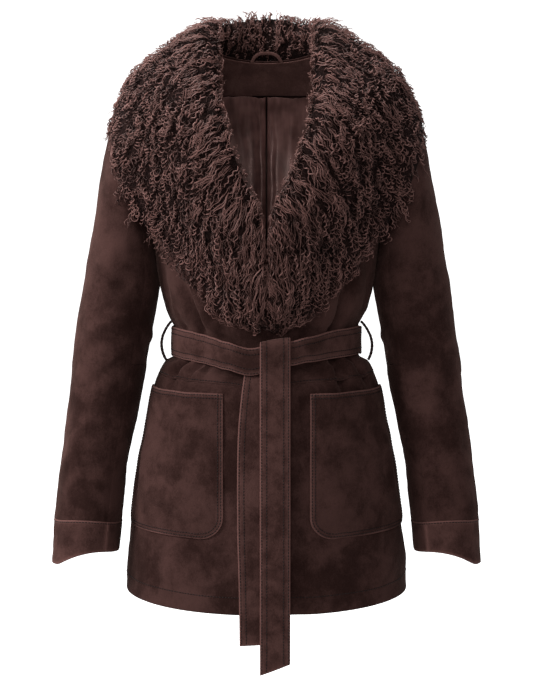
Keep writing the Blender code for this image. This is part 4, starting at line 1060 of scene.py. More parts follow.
@dataclass(frozen=True)
class Underwool(TwoTone):
    """The matted underwool between the locks, coloured dark partly as painted shade deep between them."""

    def material(self) -> bpy.types.Material:
        """Builds the material."""
        shader = Shader(self.name)
        across = shader.map()
        curls = shader.noise(shader.stretched(across, (0.55, 1.0, 1.0)), scale=150.0, warp=3.0)
        strands = shader.noise(shader.stretched(across, (0.3, 1.0, 1.0)), scale=620.0, detail=1.0, warp=2.6)
        share = (curls * 0.55 + strands * 0.65).kept(0.46, 0.78)
        return shader.feed(
            {
                "Base Color": shader.mixed(share, self.dark, self.light),
                "Roughness": 0.9,
                "Specular IOR Level": 0.1,
                "Normal": shader.bump(curls * 1.5 + strands, 0.003, 0.8),
            }
        )


@dataclass(frozen=True)
class Thread(TwoTone):
    """Sewing thread or cord with a faint twist."""

    def material(self) -> bpy.types.Material:
        """Builds the material."""
        shader = Shader(self.name)
        twist = shader.noise(shader.place(), scale=1300.0)
        return shader.feed(
            {
                "Base Color": shader.mixed(twist.kept(0.3, 0.7), self.dark, self.light),
                "Roughness": twist * 0.2 + 0.5,
                "Specular IOR Level": 0.25,
            }
        )


@dataclass
class Sewing:
    """All the topstitching: rows of short thread stitches laid on the cloth."""

    lines: list[tuple[Array, Array]] = field(default_factory=list)

    def row(self, points: Array, normals: Array) -> None:
        """Adds a row of stitches along a line on the cloth."""
        self.lines.append((points, normals))

    def build(self, thread: bpy.types.Material) -> bpy.types.Object:
        """Lays every stitch and joins them.

        Args:
            thread: the thread's material.

        Returns:
            The joined stitches.
        """
        bm = bmesh.new()
        bmesh.ops.create_cone(bm, cap_ends=True, segments=4, radius1=1, radius2=1, depth=1)
        bmesh.ops.scale(bm, vec=(1, STITCH_FLAT, 1), verts=bm.verts)
        template = mesh_of(bm, "stitch")
        shape = np.array([vert.co for vert in template.vertices])
        places = []
        for points, normals in self.lines:
            stops = lengths(points[:, None], 0)[:, 0]
            starts = (np.arange(int(stops[-1] / STITCH_PITCH)) + STITCH_START) * STITCH_PITCH
            first, last, normal = (
                np.stack([np.interp(at, stops, line[:, axis]) for axis in range(3)], axis=-1)
                for at, line in ((starts, points), (starts + STITCH_LENGTH, points), (starts, normals))
            )
            along = last - first
            whole = np.linalg.norm(along, axis=-1) >= STITCH_LENGTH / 2
            middle = (first + last) / 2 + normal * STITCH_RADIUS * STITCH_STAND
            aside = np.cross(unit(along), normal)
            copies = middle[:, None] + shape[:, 2:] * along[:, None]
            copies += (shape[:, :1] * aside[:, None] + shape[:, 1:2] * normal[:, None]) * STITCH_RADIUS
            places.append(copies[whole])
        mesh = joined_copies("topstitching", template, np.concatenate(places))
        bpy.data.meshes.remove(template)
        log.info("topstitching: %d faces", len(mesh.polygons))
        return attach(put_in_scene(mesh, thread), "root")


@dataclass
class Cloth:
    """One cut piece of cloth: a grid of points with its thickness, creases and sewn rows."""

    name: str
    nodes: tuple[str, ...]
    points: Array
    flipped: bool
    thickness: float = SUEDE
    finish: Finish = Finish.SUEDE
    held: str = "stretched"
    rests_on: tuple[str, ...] = ()
    rim: float = 0.0006

    def __post_init__(self) -> None:
        """Works out the normals."""
        self.normals = normals_of(self.points) * (-1 if self.flipped else 1)

    def raise_by(self, height: Array) -> "Cloth":
        """Moves the cloth along its normals."""
        self.points = self.points + self.normals * height[..., None]
        self.normals = normals_of(self.points) * (-1 if self.flipped else 1)
        return self

    def soften(self, amount: float, size: float, seed: int, hold: float = 0.012) -> "Cloth":
        """Adds a soft unevenness that dies out at the edges."""
        inside = eased(from_edges(self.points), 0.0, hold)
        return self.raise_by(unevenness(self.points, size, seed) * amount * inside)

    def inset_row(self, edge: str, inset: float) -> tuple[Array, Array]:
        """A line along one edge of the cloth, a distance in from it.

        Args:
            edge: top, bottom, first or last.
            inset: the distance from that edge.

        Returns:
            The line's points and normals.
        """
        sideways = edge in ("first", "last")
        points = self.points.swapaxes(0, 1) if sideways else self.points
        normals = self.normals.swapaxes(0, 1) if sideways else self.normals
        run = lengths(points, 0)
        wanted = run[-1] - inset if edge in ("top", "last") else np.full(run.shape[1], inset)
        line, outwards = [], []
        for column in range(run.shape[1]):
            row = np.interp(wanted[column], run[:, column], np.arange(len(run)))
            low = min(int(row), len(run) - 2)
            part = row - low
            line.append(points[low, column] * (1 - part) + points[low + 1, column] * part)
            outwards.append(normals[low, column] * (1 - part) + normals[low + 1, column] * part)
        return np.array(line), np.array(outwards)

    def make(
        self, material: bpy.types.Material, with_pieces: Sequence[bpy.types.Object] = ()
    ) -> bpy.types.Object:
        """Args:
            material: the finish.
            with_pieces: what grows or hangs on it; not used.

        Returns:
            The finished object.
        """
        mesh = grid_mesh(self.name, self.points, self.flipped)
        obj = put_in_scene(mesh, material)
        wall = obj.modifiers.new("thickness", "SOLIDIFY")
        wall.thickness, wall.offset = self.thickness, -1
        if self.rim:
            rim = obj.modifiers.new("rim", "BEVEL")
            rim.width, rim.segments, rim.limit_method, rim.angle_limit = self.rim, 2, "ANGLE", radians(60)
        size = tuple(float(lengths(self.points, axis).max()) for axis in (1, 0))
        steps = np.cross(np.diff(self.points[:-1], axis=1), np.diff(self.points[:, :-1], axis=0))
        area = float(np.linalg.norm(steps, axis=-1).sum())
        log.info("%s: cut %.3f x %.3f m, %.4f m2, %d faces", self.name, *size, area, len(mesh.polygons))
        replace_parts(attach(obj, "root"), *self.nodes)
        if size[0] > NARROWEST_SHEET:
            area = min(area, size[0] * size[1])
        return obj


def outward(points: Array) -> Array:
    """The way from the coat's core out through points on the shoulders, chest or back."""
    x = np.clip(points[..., 0] * CORE_SHARE, -CORE_HALF_WIDTH, CORE_HALF_WIDTH)
    return unit(points - xyz(x, 0.0, np.minimum(points[..., 2] - CORE_DROP, CORE_TOP)))


class CollarForm:
    """The outer form of one half of the fur, from the neck side over the crest to the hair's ends."""

    STATION_STEPS, PLACES = 7, 44

    def __init__(self, side: int, node: bpy.types.Object) -> None:
        """Samples the CAD solid's outer face.

        Args:
            side: 1 for the wearer's left, -1 for the right.
            node: the CAD collar on that side.
        """
        self.side = side
        rows = COLLAR.at(np.linspace(0, len(STATIONS) - 1, (len(STATIONS) - 1) * self.STATION_STEPS + 1))
        section, thick = self.sections(rows, node)
        run = lengths(section, 1)
        self.points = np.empty((len(rows), self.PLACES, 3))
        self.thick = np.empty((len(rows), self.PLACES))
        for row in range(len(rows)):
            wanted = np.linspace(0, run[row, -1], self.PLACES)
            for axis in range(3):
                self.points[row, :, axis] = np.interp(wanted, run[row], section[row, :, axis])
            self.thick[row] = np.interp(wanted, run[row], thick[row])
        for _ in range(FORM_SMOOTHINGS):
            smooth(self.points, 1)
            smooth(self.points, 0)
        self.normals = normals_of(self.points)
        middle = len(rows) // 2, self.PLACES // 2
        if (self.normals[middle] * outward(self.points[middle])).sum() < 0:
            self.normals = -self.normals
        self.by_station = np.gradient(self.points, axis=0)
        self.by_place = np.gradient(self.points, axis=1)

    def sections(self, rows: Array, node: bpy.types.Object) -> tuple[Array, Array]:
        """The fur's cross-sections, found by rays that meet the CAD solid from outside.

        Args:
            rows: the collar's rows, one a section.
            node: the CAD collar on that side.

        Returns:
            The points of every section, and how deep the fur is there.
        """
        parts = np.linspace(0, 1, SECTION_PARTS)
        inner, outer = rows[:, 0:3] * (self.side, 1, 1), rows[:, 3:6] * (self.side, 1, 1)
        base = inner[:, None] + (outer - inner)[:, None] * np.minimum(parts, SECTION_END)[None, :, None]
        ways = outward(base)
        crest, inwards_by, middle, edge = (rows[:, column : column + 1] for column in (6, 7, 8, 9))
        falling = crest + (middle - crest) * eased(parts, 0.0, CREST_REACH)
        heights = edge + (falling - edge) * (1 - eased(parts, EDGE_START, 1.0))
        top = base + ways * heights[..., None]
        faces = [tuple(face.vertices) for face in node.data.polygons]
        tree = BVHTree.FromPolygons([vert.co for vert in node.data.vertices], faces)
        for index in np.ndindex(top.shape[:2]):
            start = Vector(base[index] + ways[index] * RAY_START)
            hit = tree.ray_cast(start, Vector(-ways[index]), RAY_REACH)[0]
            if hit is not None:
                top[index] = hit
        seat = top - ways * heights[..., None]
        inwards = unit(seat[:, 0] - seat[:, NECK_PARTS])
        rise = top[:, 0] - seat[:, 0]
        low = seat[:, 0] + rise * UNDER_SHARE + inwards * inwards_by * UNDER_INWARD
        high = seat[:, 0] + rise * OVER_SHARE + inwards * inwards_by
        section = np.concatenate([seat[:, :1], low[:, None], high[:, None], top], axis=1)
        neck = [0 * inwards_by + SEAM_THICK, inwards_by * NECK_THICK + UNDER_THICK]
        thick = np.concatenate([*neck, inwards_by * NECK_THICK + OVER_THICK, heights], axis=1)
        return section, thick

    def sample(self, grid: Array, station: Array, place: Array) -> Array:
        """A grid's value at fractional rows and columns, carried on straight past its ends."""
        low_row = np.clip(np.floor(station).astype(int), 0, grid.shape[0] - 2)
        low_column = np.clip(np.floor(place).astype(int), 0, grid.shape[1] - 2)
        shape = station.shape + (1,) * (grid.ndim - 2)
        up = np.clip(station - low_row, PAST_START, PAST_ROWS).reshape(shape)
        over = np.clip(place - low_column, PAST_START, PAST_COLUMNS).reshape(shape)
        first, second = (
            grid[row, low_column] * (1 - over) + grid[row, low_column + 1] * over
            for row in (low_row, low_row + 1)
        )
        return first * (1 - up) + second * up

    def walk(self, station: Array, place: Array, step: Array) -> tuple[Array, Array]:
        """The rows and columns reached by going a step through space along the form."""
        by_station, by_place = (
            self.sample(grid, station, place) for grid in (self.by_station, self.by_place)
        )
        ss, sp, pp = (by_station**2).sum(-1), (by_station * by_place).sum(-1), (by_place**2).sum(-1)
        a, b = (step * by_station).sum(-1), (step * by_place).sum(-1)
        size = np.maximum(ss * pp - sp**2, SMALLEST_CELL)
        moves = ((a * pp - b * sp) / size, (b * ss - a * sp) / size)
        return tuple(at + np.clip(move, -MOST_MOVE, MOST_MOVE) for at, move in zip((station, place), moves))


@dataclass(frozen=True)
class Lock:
    """How the hair grows at one place across the collar, from the neck side to its ends."""

    place: float
    length: float
    curl: float
    pitch: float
    fall: float
    loose: float
    flat: float
    stand: float


LOCKS_TOP = (
    Lock(0.00, 0.011, 0.0021, 0.0048, 0.00, 1.2, 0.8, 0.001),
    Lock(0.14, 0.015, 0.0020, 0.0054, 0.00, 1.0, 0.6, 0.008),
    Lock(0.22, 0.022, 0.0014, 0.0085, 0.00, 0.5, 0.3, 0.012),
    Lock(0.30, 0.023, 0.0014, 0.0090, 0.10, 0.5, 0.3, 0.006),
    Lock(0.39, 0.020, 0.0024, 0.0070, 0.35, 0.8, 0.5, 0.002),
    Lock(0.50, 0.019, 0.0031, 0.0056, 0.58, 1.2, 0.7, 0.002),
    Lock(0.80, 0.020, 0.0033, 0.0058, 0.68, 1.3, 0.7, 0.002),
    Lock(1.00, 0.020, 0.0035, 0.0060, 0.74, 1.3, 0.7, 0.004),
)
LOCKS_LOW = (
    Lock(0.00, 0.016, 0.0018, 0.0080, 0.30, 0.8, 0.4, 0.001),
    Lock(0.16, 0.026, 0.0017, 0.0105, 0.48, 0.6, 0.3, 0.002),
    Lock(0.28, 0.034, 0.0018, 0.0115, 0.68, 0.25, 0.2, 0.002),
    Lock(0.42, 0.036, 0.0022, 0.0105, 0.82, 0.25, 0.2, 0.001),
    Lock(0.55, 0.034, 0.0027, 0.0090, 0.92, 0.3, 0.3, 0.001),
    Lock(0.80, 0.034, 0.0030, 0.0085, 0.95, 0.35, 0.4, 0.002),
    Lock(1.00, 0.031, 0.0034, 0.0075, 0.97, 0.5, 0.5, 0.004),
)
LOW_FROM, LOW_FULL = 9.0, 14.5

# The shape of one strand: how it leaves the skin, curls up and thins, by the share of its length
# RELIEF_DEPTH: how deep in the fur the hair's painted shade reaches its darkest.
RELIEF_DEPTH = 0.0075
LEAST_THICK, FALL_PULL = 0.004, 1.6
ROOT_RUN, ROOT_POWER, ROOT_DEPTH, DEEPEST_ROOT, DEPTH_LOST = 4, 0.7, 0.45, 0.011, 0.35
CURL_START, CURL_GAIN, CURL_SINK, CURL_RISE, TIGHTENING = 0.55, 0.55, 0.7, 0.8, 1.15
SPREAD_START, SPREAD_GAIN, SPREAD_RUN = 0.35, 0.65, 1.1
SPREAD_ASIDE, SPREAD_ABOVE = 1.3, 0.5
ROOT_WIDTH, ROOT_WIDENING, TIP_START, TIP_LOST, TIP_POWER = 0.55, 5, 0.7, 0.75, 1.5
TUBE_AXIS = (0.31, -0.83, 0.46)
ROOM = 0.62

# The skin below the locks
PELT_OVERLAP, PELT_THICK = 0.0004, 0.002
PELT_SHARE, PELT_DEEPEST, PELT_LEAST = 0.30, 0.0055, 0.0012
PELT_BUMP, PELT_BUMP_SHARE = 0.0016, 0.09
PELT_BUMPS = ((0.020, 5, 1.0), (0.012, 6, 0.7))


@dataclass(frozen=True)
class Variety:
    """How far the hair differs, first from lock to lock and then from strand to strand."""

    length: tuple[float, float] = (0.75, 1.25)
    curl: tuple[float, float] = (0.55, 1.45)
    pitch: tuple[float, float] = (0.8, 1.3)
    fall: float = 0.08
    turn: float = 0.40
    bend: float = 0.8
    highest: float = -0.0015
    spread: tuple[float, float] = (0.0012, 0.0030)
    lift: tuple[float, float] = (-0.3, 1.0)
    tilt: tuple[float, float] = (0.1, 1.4)
    tuft_size: float = 0.022
    tuft_height: float = 0.0016
    shade: tuple[float, float] = (0.1, 0.9)
    tuft_shade: float = 0.15
    strand_length: tuple[float, float] = (0.75, 1.15)
    strand_turn: float = 0.14
    strand_pitch: tuple[float, float] = (0.88, 1.12)
    strand_curl: tuple[float, float] = (0.7, 1.25)
    strand_depth: float = 0.0009
    strand_station: float = 0.16
    strand_place: float = 0.25
    strand_width: tuple[float, float] = (0.7, 1.25)
    strand_shade: float = 0.15


@dataclass(frozen=True)
class Kind:
    """One kind of hair: how much of it there is, how it is made and where it grows thickest."""

    name: str
    clumps: int
    strands: int
    points: int
    width: float
    pieces: int
    reach: float
    curl: float
    slack: float
    apart: float
    lift: float
    deepest: float
    thickness: tuple[tuple[float, float], ...]


KINDS = (
    Kind(
        "coils", 1850, 1, 20, 0.00080, 2, 1.0, 1.0, 1.0, 0.0, 0.0, 0.0046,
        ((0.0, 1.7), (0.15, 1.6), (0.22, 0.6), (0.34, 0.45), (0.45, 0.9), (0.55, 1.0), (1.0, 1.1)),
    ),
    Kind(
        "locks", 190, 4, 12, 0.00062, 1, 1.6, 0.8, 2.0, 0.6, 0.0, 0.0050,
        ((0.0, 0.5), (0.3, 0.8), (0.5, 1.0)),
    ),
    Kind(
        "combed", 210, 6, 8, 0.00044, 1, 1.2, 0.6, 2.0, 0.6, 0.0, 0.0022,
        ((0.0, 0.6), (0.14, 1.0), (0.2, 1.5), (0.34, 1.0), (0.48, 0.3), (0.6, 0.05)),
    ),
    Kind(
        "stray", 260, 1, 9, 0.00024, 1, 1.1, 1.4, 2.2, 0.0, 0.0070, 0.0000,
        ((0.0, 0.4), (0.2, 1.4), (0.4, 0.8), (0.9, 1.0), (1.0, 2.0)),
    ),
)


@dataclass
class Fur:
    """The curly hair of one half of the collar, in locks of a few strands that curl together."""

    form: CollarForm
    hand: str
    seed: int

    def growth(self, station: Array, place: Array) -> dict[str, Array]:
        """How the hair grows at some places, read off both tables."""
        shares = place / (self.form.PLACES - 1)
        low = eased(station / self.form.STATION_STEPS, LOW_FROM, LOW_FULL)
        found = {}
        for key in ("length", "curl", "pitch", "fall", "loose", "flat", "stand"):
            top_values, low_values = (
                np.interp(shares, [lock.place for lock in table], [getattr(lock, key) for lock in table])
                for table in (LOCKS_TOP, LOCKS_LOW)
            )
            found[key] = top_values + (low_values - top_values) * low
        return found

    def roots(self, random: np.random.Generator, kind: Kind) -> tuple[Array, Array]:
        """Places spread over the form's area, as thickly as a kind of hair grows there."""
        form, count, tries = self.form, kind.clumps, kind.clumps * 6
        cells = np.linalg.norm(np.cross(form.by_station, form.by_place), axis=-1)[:-1, :-1]
        cells = cells * np.interp(np.linspace(0, 1, cells.shape[1]), *zip(*kind.thickness))
        chosen = random.choice(cells.size, size=tries, p=(cells / cells.sum()).ravel())
        station = chosen // cells.shape[1] + random.random(tries)
        place = chosen % cells.shape[1] + random.random(tries)
        places = form.sample(form.points, station, place)
        spacing = np.sqrt(cells.sum() / count) * ROOM
        kept = [0]
        for index in range(1, tries):
            if len(kept) == count:
                break
            if np.linalg.norm(places[kept] - places[index], axis=1).min() > spacing:
                kept.append(index)
        return station[kept], place[kept]

    def grow(
        self, station: Array, place: Array, facts: dict[str, Array], points: int
    ) -> tuple[Array, Array]:
        """Walks every strand out over the form from its root.

        Args:
            station: the roots' rows.
            place: the roots' columns.
            facts: each strand's length, curl, pitch, fall and so on.
            points: how many points a strand has.

        Returns:
            The middle lines, strands by points by three, and how far each point stands up out of the fur.
        """
        form = self.form
        line, relief_light_and_shade = np.empty((len(station), points, 3)), np.empty((len(station), points))
        upright, lying = np.cos(facts["tilt"]), np.sin(facts["tilt"])
        step = (facts["length"] / (points - 1))[:, None]
        down = np.array([0.0, 0.0, -1.0])
        for index, share in enumerate(np.linspace(0, 1, points)):
            normal = unit(form.sample(form.normals, station, place))
            across = unit(form.sample(form.by_place, station, place))
            falling = down - normal * (normal @ down)[:, None]
            flow = across * (1 - facts["fall"])[:, None] + falling * facts["fall"][:, None] * FALL_PULL
            turn = (facts["turn"] + facts["bend"] * (share - 0.5))[:, None]
            flow = flow * np.cos(turn) + np.cross(normal, flow) * np.sin(turn)
            flow = unit(flow - normal * (flow * normal).sum(-1, keepdims=True))
            thick = np.maximum(form.sample(form.thick, station, place), LEAST_THICK)
            sunk = 1 - np.minimum(share * ROOT_RUN, 1.0) ** ROOT_POWER
            deep = facts["deep"] * (1 - share * DEPTH_LOST)
            deep += sunk * np.minimum(thick * ROOT_DEPTH, DEEPEST_ROOT)
            curl = facts["curl"] * (CURL_START + CURL_GAIN * share)
            turns = share**TIGHTENING * facts["length"] / facts["pitch"]
            angle = facts["phase"] + facts["hand"] * 2 * pi * turns
            swell = np.sin(pi * min(share * SPREAD_RUN, 1.0))
            spread = facts["spread"] * (SPREAD_START + SPREAD_GAIN * swell)
            wave, swing = curl * np.sin(angle), curl * np.cos(angle)
            height = facts["lift"] * share**2 + spread * facts["above"] - deep
            height -= (curl * CURL_SINK - wave * CURL_RISE) * upright
            line[:, index] = (
                form.sample(form.points, station, place)
                + normal * height[:, None]
                + np.cross(normal, flow) * (swing + spread * facts["aside"])[:, None]
                + flow * (wave * lying)[:, None]
            )
            # How far the point stands up out of the fur, which the hair's material turns into painted shade
            # and highlight.
            relief_light_and_shade[:, index] = np.clip(1 + height / RELIEF_DEPTH, 0.0, 1.0)
            station, place = form.walk(station, place, flow * step)
        return line, relief_light_and_shade

    def strand(self, count: int) -> bpy.types.Mesh:
        """A closed three-sided tube of as many rings as wanted, one unit apart."""
        bm = bmesh.new()
        ring = bmesh.ops.create_circle(bm, cap_ends=True, segments=3, radius=1)["verts"]
        edges = list({edge for vert in ring for edge in vert.link_edges})
        for _ in range(count - 1):
            made = bmesh.ops.extrude_edge_only(bm, edges=edges)["geom"]
            raised = [item for item in made if isinstance(item, bmesh.types.BMVert)]
            bmesh.ops.translate(bm, vec=(0, 0, 1), verts=raised)
            edges = [item for item in made if isinstance(item, bmesh.types.BMEdge) and item.is_boundary]
            edges = [edge for edge in edges if abs(edge.verts[0].co.z - edge.verts[1].co.z) < 0.5]
        bmesh.ops.holes_fill(bm, edges=edges)
        bmesh.ops.recalc_face_normals(bm, faces=bm.faces)
        return mesh_of(bm, "strand")

    def tubes(self, name: str, line: Array, width: Array, shade: Array, relief_light_and_shade: Array) -> bpy.types.Mesh:
        """Joins three-sided strands, thick in the middle and fine at the tips.

        Args:
            name: the mesh's name.
            line: the middle lines.
            width: each strand's radius.
            shade: how light each strand is.
            relief_light_and_shade: how far each of its points stands up out of the fur.

        Returns:
            The joined mesh.
        """
        count = line.shape[1]
        template = self.strand(count)
        shape = np.array([vert.co for vert in template.vertices])
        row = np.rint(shape[:, 2]).astype(int)
        along = unit(np.gradient(line, axis=1))
        aside = unit(np.cross(along, np.array(TUBE_AXIS)))
        over = np.cross(along, aside)
        shares = np.linspace(0, 1, count)
        root = ROOT_WIDTH + (1 - ROOT_WIDTH) * np.minimum(shares * ROOT_WIDENING, 1)
        tip = 1 - TIP_LOST * np.clip((shares - TIP_START) / (1 - TIP_START), 0, 1) ** TIP_POWER
        radius = width[:, None] * (root * tip)
        places = (
            line[:, row]
            + aside[:, row] * (shape[:, 0] * radius[:, row])[..., None]
            + over[:, row] * (shape[:, 1] * radius[:, row])[..., None]
        )
        mesh = joined_copies(name, template, places)
        bpy.data.meshes.remove(template)
        for key, values in (("relief_light_and_shade", relief_light_and_shade[:, row]), ("shade", np.tile(shade[:, None], len(row)))):
            layer = mesh.attributes.new(key, "FLOAT", "POINT")
            layer.data.foreach_set("value", values.astype(np.float32).ravel())
        return mesh

    def build(self, material: bpy.types.Material) -> list[bpy.types.Object]:
        """Grows every kind of hair.

        Args:
            material: the hair's material.

        Returns:
            The pieces.
        """
        random = np.random.default_rng(self.seed)
        return [piece for kind in KINDS for piece in self.grown(kind, random, material)]

    def grown(
        self, kind: Kind, random: np.random.Generator, material: bpy.types.Material
    ) -> list[bpy.types.Object]:
        """Grows one kind of hair and cuts it into pieces of a fair size.

        Args:
            kind: the kind of hair.
            random: the source of chance.
            material: the hair's material.

        Returns:
            The pieces.
        """
        vary = Variety()
        root_station, root_place = self.roots(random, kind)
        clumps, strands = len(root_station), kind.strands
        growth = self.growth(root_station, root_place)
        each = {
            "length": growth["length"] * random.uniform(*vary.length, clumps) * kind.reach,
            "curl": growth["curl"] * random.uniform(*vary.curl, clumps) * kind.curl,
            "pitch": growth["pitch"] * random.uniform(*vary.pitch, clumps) * kind.slack,
            "fall": np.clip(growth["fall"] + random.normal(0, vary.fall, clumps), 0, 1),
            "turn": random.normal(0, vary.turn, clumps) * growth["loose"],
            "bend": random.normal(0, vary.bend, clumps) * growth["loose"],
            "phase": random.uniform(0, 2 * pi, clumps),
            "hand": random.choice([-1.0, 1.0], clumps),
            "deep": random.uniform(vary.highest, kind.deepest, clumps),
            "spread": random.uniform(*vary.spread, clumps),
            "lift": random.uniform(*vary.lift, clumps) * (growth["stand"] + kind.lift),
            "tilt": random.uniform(*vary.tilt, clumps) * growth["flat"],
            "loose": growth["loose"],
        }
        places = self.form.sample(self.form.points, root_station, root_place)
        tufts = unevenness(places, vary.tuft_size, self.seed)
        each["deep"] = each["deep"] - vary.tuft_height * tufts
        facts = {key: np.repeat(values, strands) for key, values in each.items()}
        total = clumps * strands
        facts["length"] = facts["length"] * random.uniform(*vary.strand_length, total)
        facts["phase"] = facts["phase"] + random.normal(0, 1, total) * kind.apart * facts["loose"]
        facts["turn"] = facts["turn"] + random.normal(0, vary.strand_turn, total)
        facts["pitch"] = facts["pitch"] * random.uniform(*vary.strand_pitch, total)
        facts["curl"] = facts["curl"] * random.uniform(*vary.strand_curl, total)
        facts["deep"] = facts["deep"] + random.normal(0, vary.strand_depth, total)
        ring = random.uniform(0, 2 * pi, total)
        facts["aside"], facts["above"] = np.cos(ring) * SPREAD_ASIDE, np.sin(ring) * SPREAD_ABOVE
        station = np.repeat(root_station, strands) + random.normal(0, vary.strand_station, total)
        place = np.repeat(root_place, strands) + random.normal(0, vary.strand_place, total)
        line, relief_light_and_shade = self.grow(station, place, facts, kind.points)
        width = kind.width * random.uniform(*vary.strand_width, total)
        shade = np.repeat(random.uniform(*vary.shade, clumps) + vary.tuft_shade * tufts, strands)
        shade = np.clip(shade + random.normal(0, vary.strand_shade, total), 0, 1)
        pieces = []
        for number, chosen in enumerate(np.array_split(np.argsort(station), kind.pieces), 1):
            name = f"fur_{kind.name}_{self.hand}_{number}"
            mesh = self.tubes(name, line[chosen], width[chosen], shade[chosen], relief_light_and_shade[chosen])
            pieces.append(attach(put_in_scene(mesh, material), "root"))
            log.info("%s: %d strands, %d faces", name, len(chosen), len(mesh.polygons))
        return pieces

    def pelt(self, material: bpy.types.Material, fur: list[bpy.types.Object]) -> bpy.types.Object:
        """The skin and underwool below the locks, which stands for the CAD solid.

        Args:
            material: the underwool's material.
            fur: the locks that grow on it.

        Returns:
            The finished object.
        """
        form = self.form
        depth = np.minimum(form.thick * PELT_SHARE, PELT_DEEPEST) + PELT_LEAST
        points = form.points - form.normals * depth[..., None]
        bumps = sum(
            share * unevenness(form.points, size, self.seed + shift) for size, shift, share in PELT_BUMPS
        )
        height = bumps * np.minimum(PELT_BUMP, form.thick * PELT_BUMP_SHARE)
        points = points + form.normals * height[..., None]
        points[0, :, 0] = -form.side * PELT_OVERLAP
        flipped = bool((normals_of(points) * form.normals).sum() < 0)
        points = np.concatenate([points[:-1:2], points[-1:]])
        points = np.concatenate([points[:, :-1:2], points[:, -1:]], axis=1)
        rests = (f"bodice_front_{self.hand}", "bodice_back", f"topsleeve_cloth_{self.hand}")
        name, nodes = f"pelt_{self.hand}", (f"collar_{self.hand}",)
        return Cloth(name, nodes, points, flipped, PELT_THICK, Finish.FUR, "draped", rests, rim=0.0).make(
            material, fur
        )


@dataclass
class Body:
    """The bodice and the skirt: a back and two fronts each, meeting in the waist seam."""

    sewing: Sewing
    low: float = HEM
    seam_below: float = step_along(WAIST_SEAM, -SEAM_GAP / 2)
    seam_above: float = step_along(WAIST_SEAM, SEAM_GAP / 2)

    def panel(
        self, name: str, nodes: tuple[str, ...], angles: Array, levels: Array, inset: Array | None, seed: int
    ) -> Cloth:
        """One panel over a grid of angles and levels, with its creases.

        Args:
            name: the panel's name.
            nodes: the CAD nodes that it stands for.
            angles: angles round the body, levels by columns.
            levels: the levels, one a row.
            inset: how far the cloth lies behind the coat's face, if it does.
            seed: which unevenness.

        Returns:
            The cloth.
        """
        grid = torso_point(angles, levels[:, None] + 0 * angles)
        flipped = bool(angles[0, -1] < angles[0, 0])
        cloth = Cloth(name, nodes, grid, flipped)
        if inset is not None:
            cloth.raise_by(-inset)
        creases = crease_height(wrapped(angles) * BODY_RADIUS, cloth.points[..., 2], BODY_CREASES)
        cloth.raise_by(creases * eased(lengths(grid, 0), 0.0, SEAM_HOLD))
        return cloth.soften(*PANEL_WAVES, seed).soften(*PANEL_RIPPLES, seed + 1, RIPPLE_HOLD)

    def front(self, name: str, nodes: tuple[str, ...], side: int, levels: Array, seed: int) -> Cloth:
        """A front panel, from its free edge to the side seam, armhole and shoulder."""
        start, end = front_edge_angle(levels), side_angle(levels, ARMHOLE_FRONT)
        columns = np.linspace(0, 1, int(FRONT_WIDTH / FRONT_STEP) + 1)
        angles = side * (start[:, None] + (end - start)[:, None] * columns)
        inset = None
        if side > 0:
            points = torso_point(angles, levels[:, None] + 0 * angles)
            below = 1 - eased(points[..., 2], *LAP_TOP)
            inset = LAP_INSET * below * (1 - eased(points[..., 0] * side, *LAP_BLEND))
        return self.panel(name, nodes, angles, levels, inset, seed)

    def build(self, suede: bpy.types.Material) -> None:
        """Makes the six panels and sews the hem and the waist seam."""
        stretches = (
            ("upper", "bodice", ("chest", "waist"), BODY.evenly(self.seam_above, NECK, CLOTH_STEP)),
            ("skirt", "skirt", ("skirt",), BODY.evenly(self.low, self.seam_below, CLOTH_STEP)),
        )
        for part, word, solids, levels in stretches:
            half = side_angle(levels, ARMHOLE_BACK)
            columns = np.linspace(-1, 1, int(BACK_WIDTH / BACK_STEP) + 1)
            angles = pi + half[:, None] * columns
            panels = [self.panel(f"{word}_back", (f"back_{part}",), angles, levels, None, 11)]
            for side, hand, seed in ((1, "left", 21), (-1, "right", 31)):
                nodes = tuple(f"front_{solid}_{hand}" for solid in solids)
                panels.append(self.front(f"{word}_front_{hand}", nodes, side, levels, seed))
            for cloth in panels:
                self.sewing.row(*cloth.inset_row("bottom", HEM_ROW if part == "skirt" else STITCH_ROWS[0]))
                cloth.make(suede)


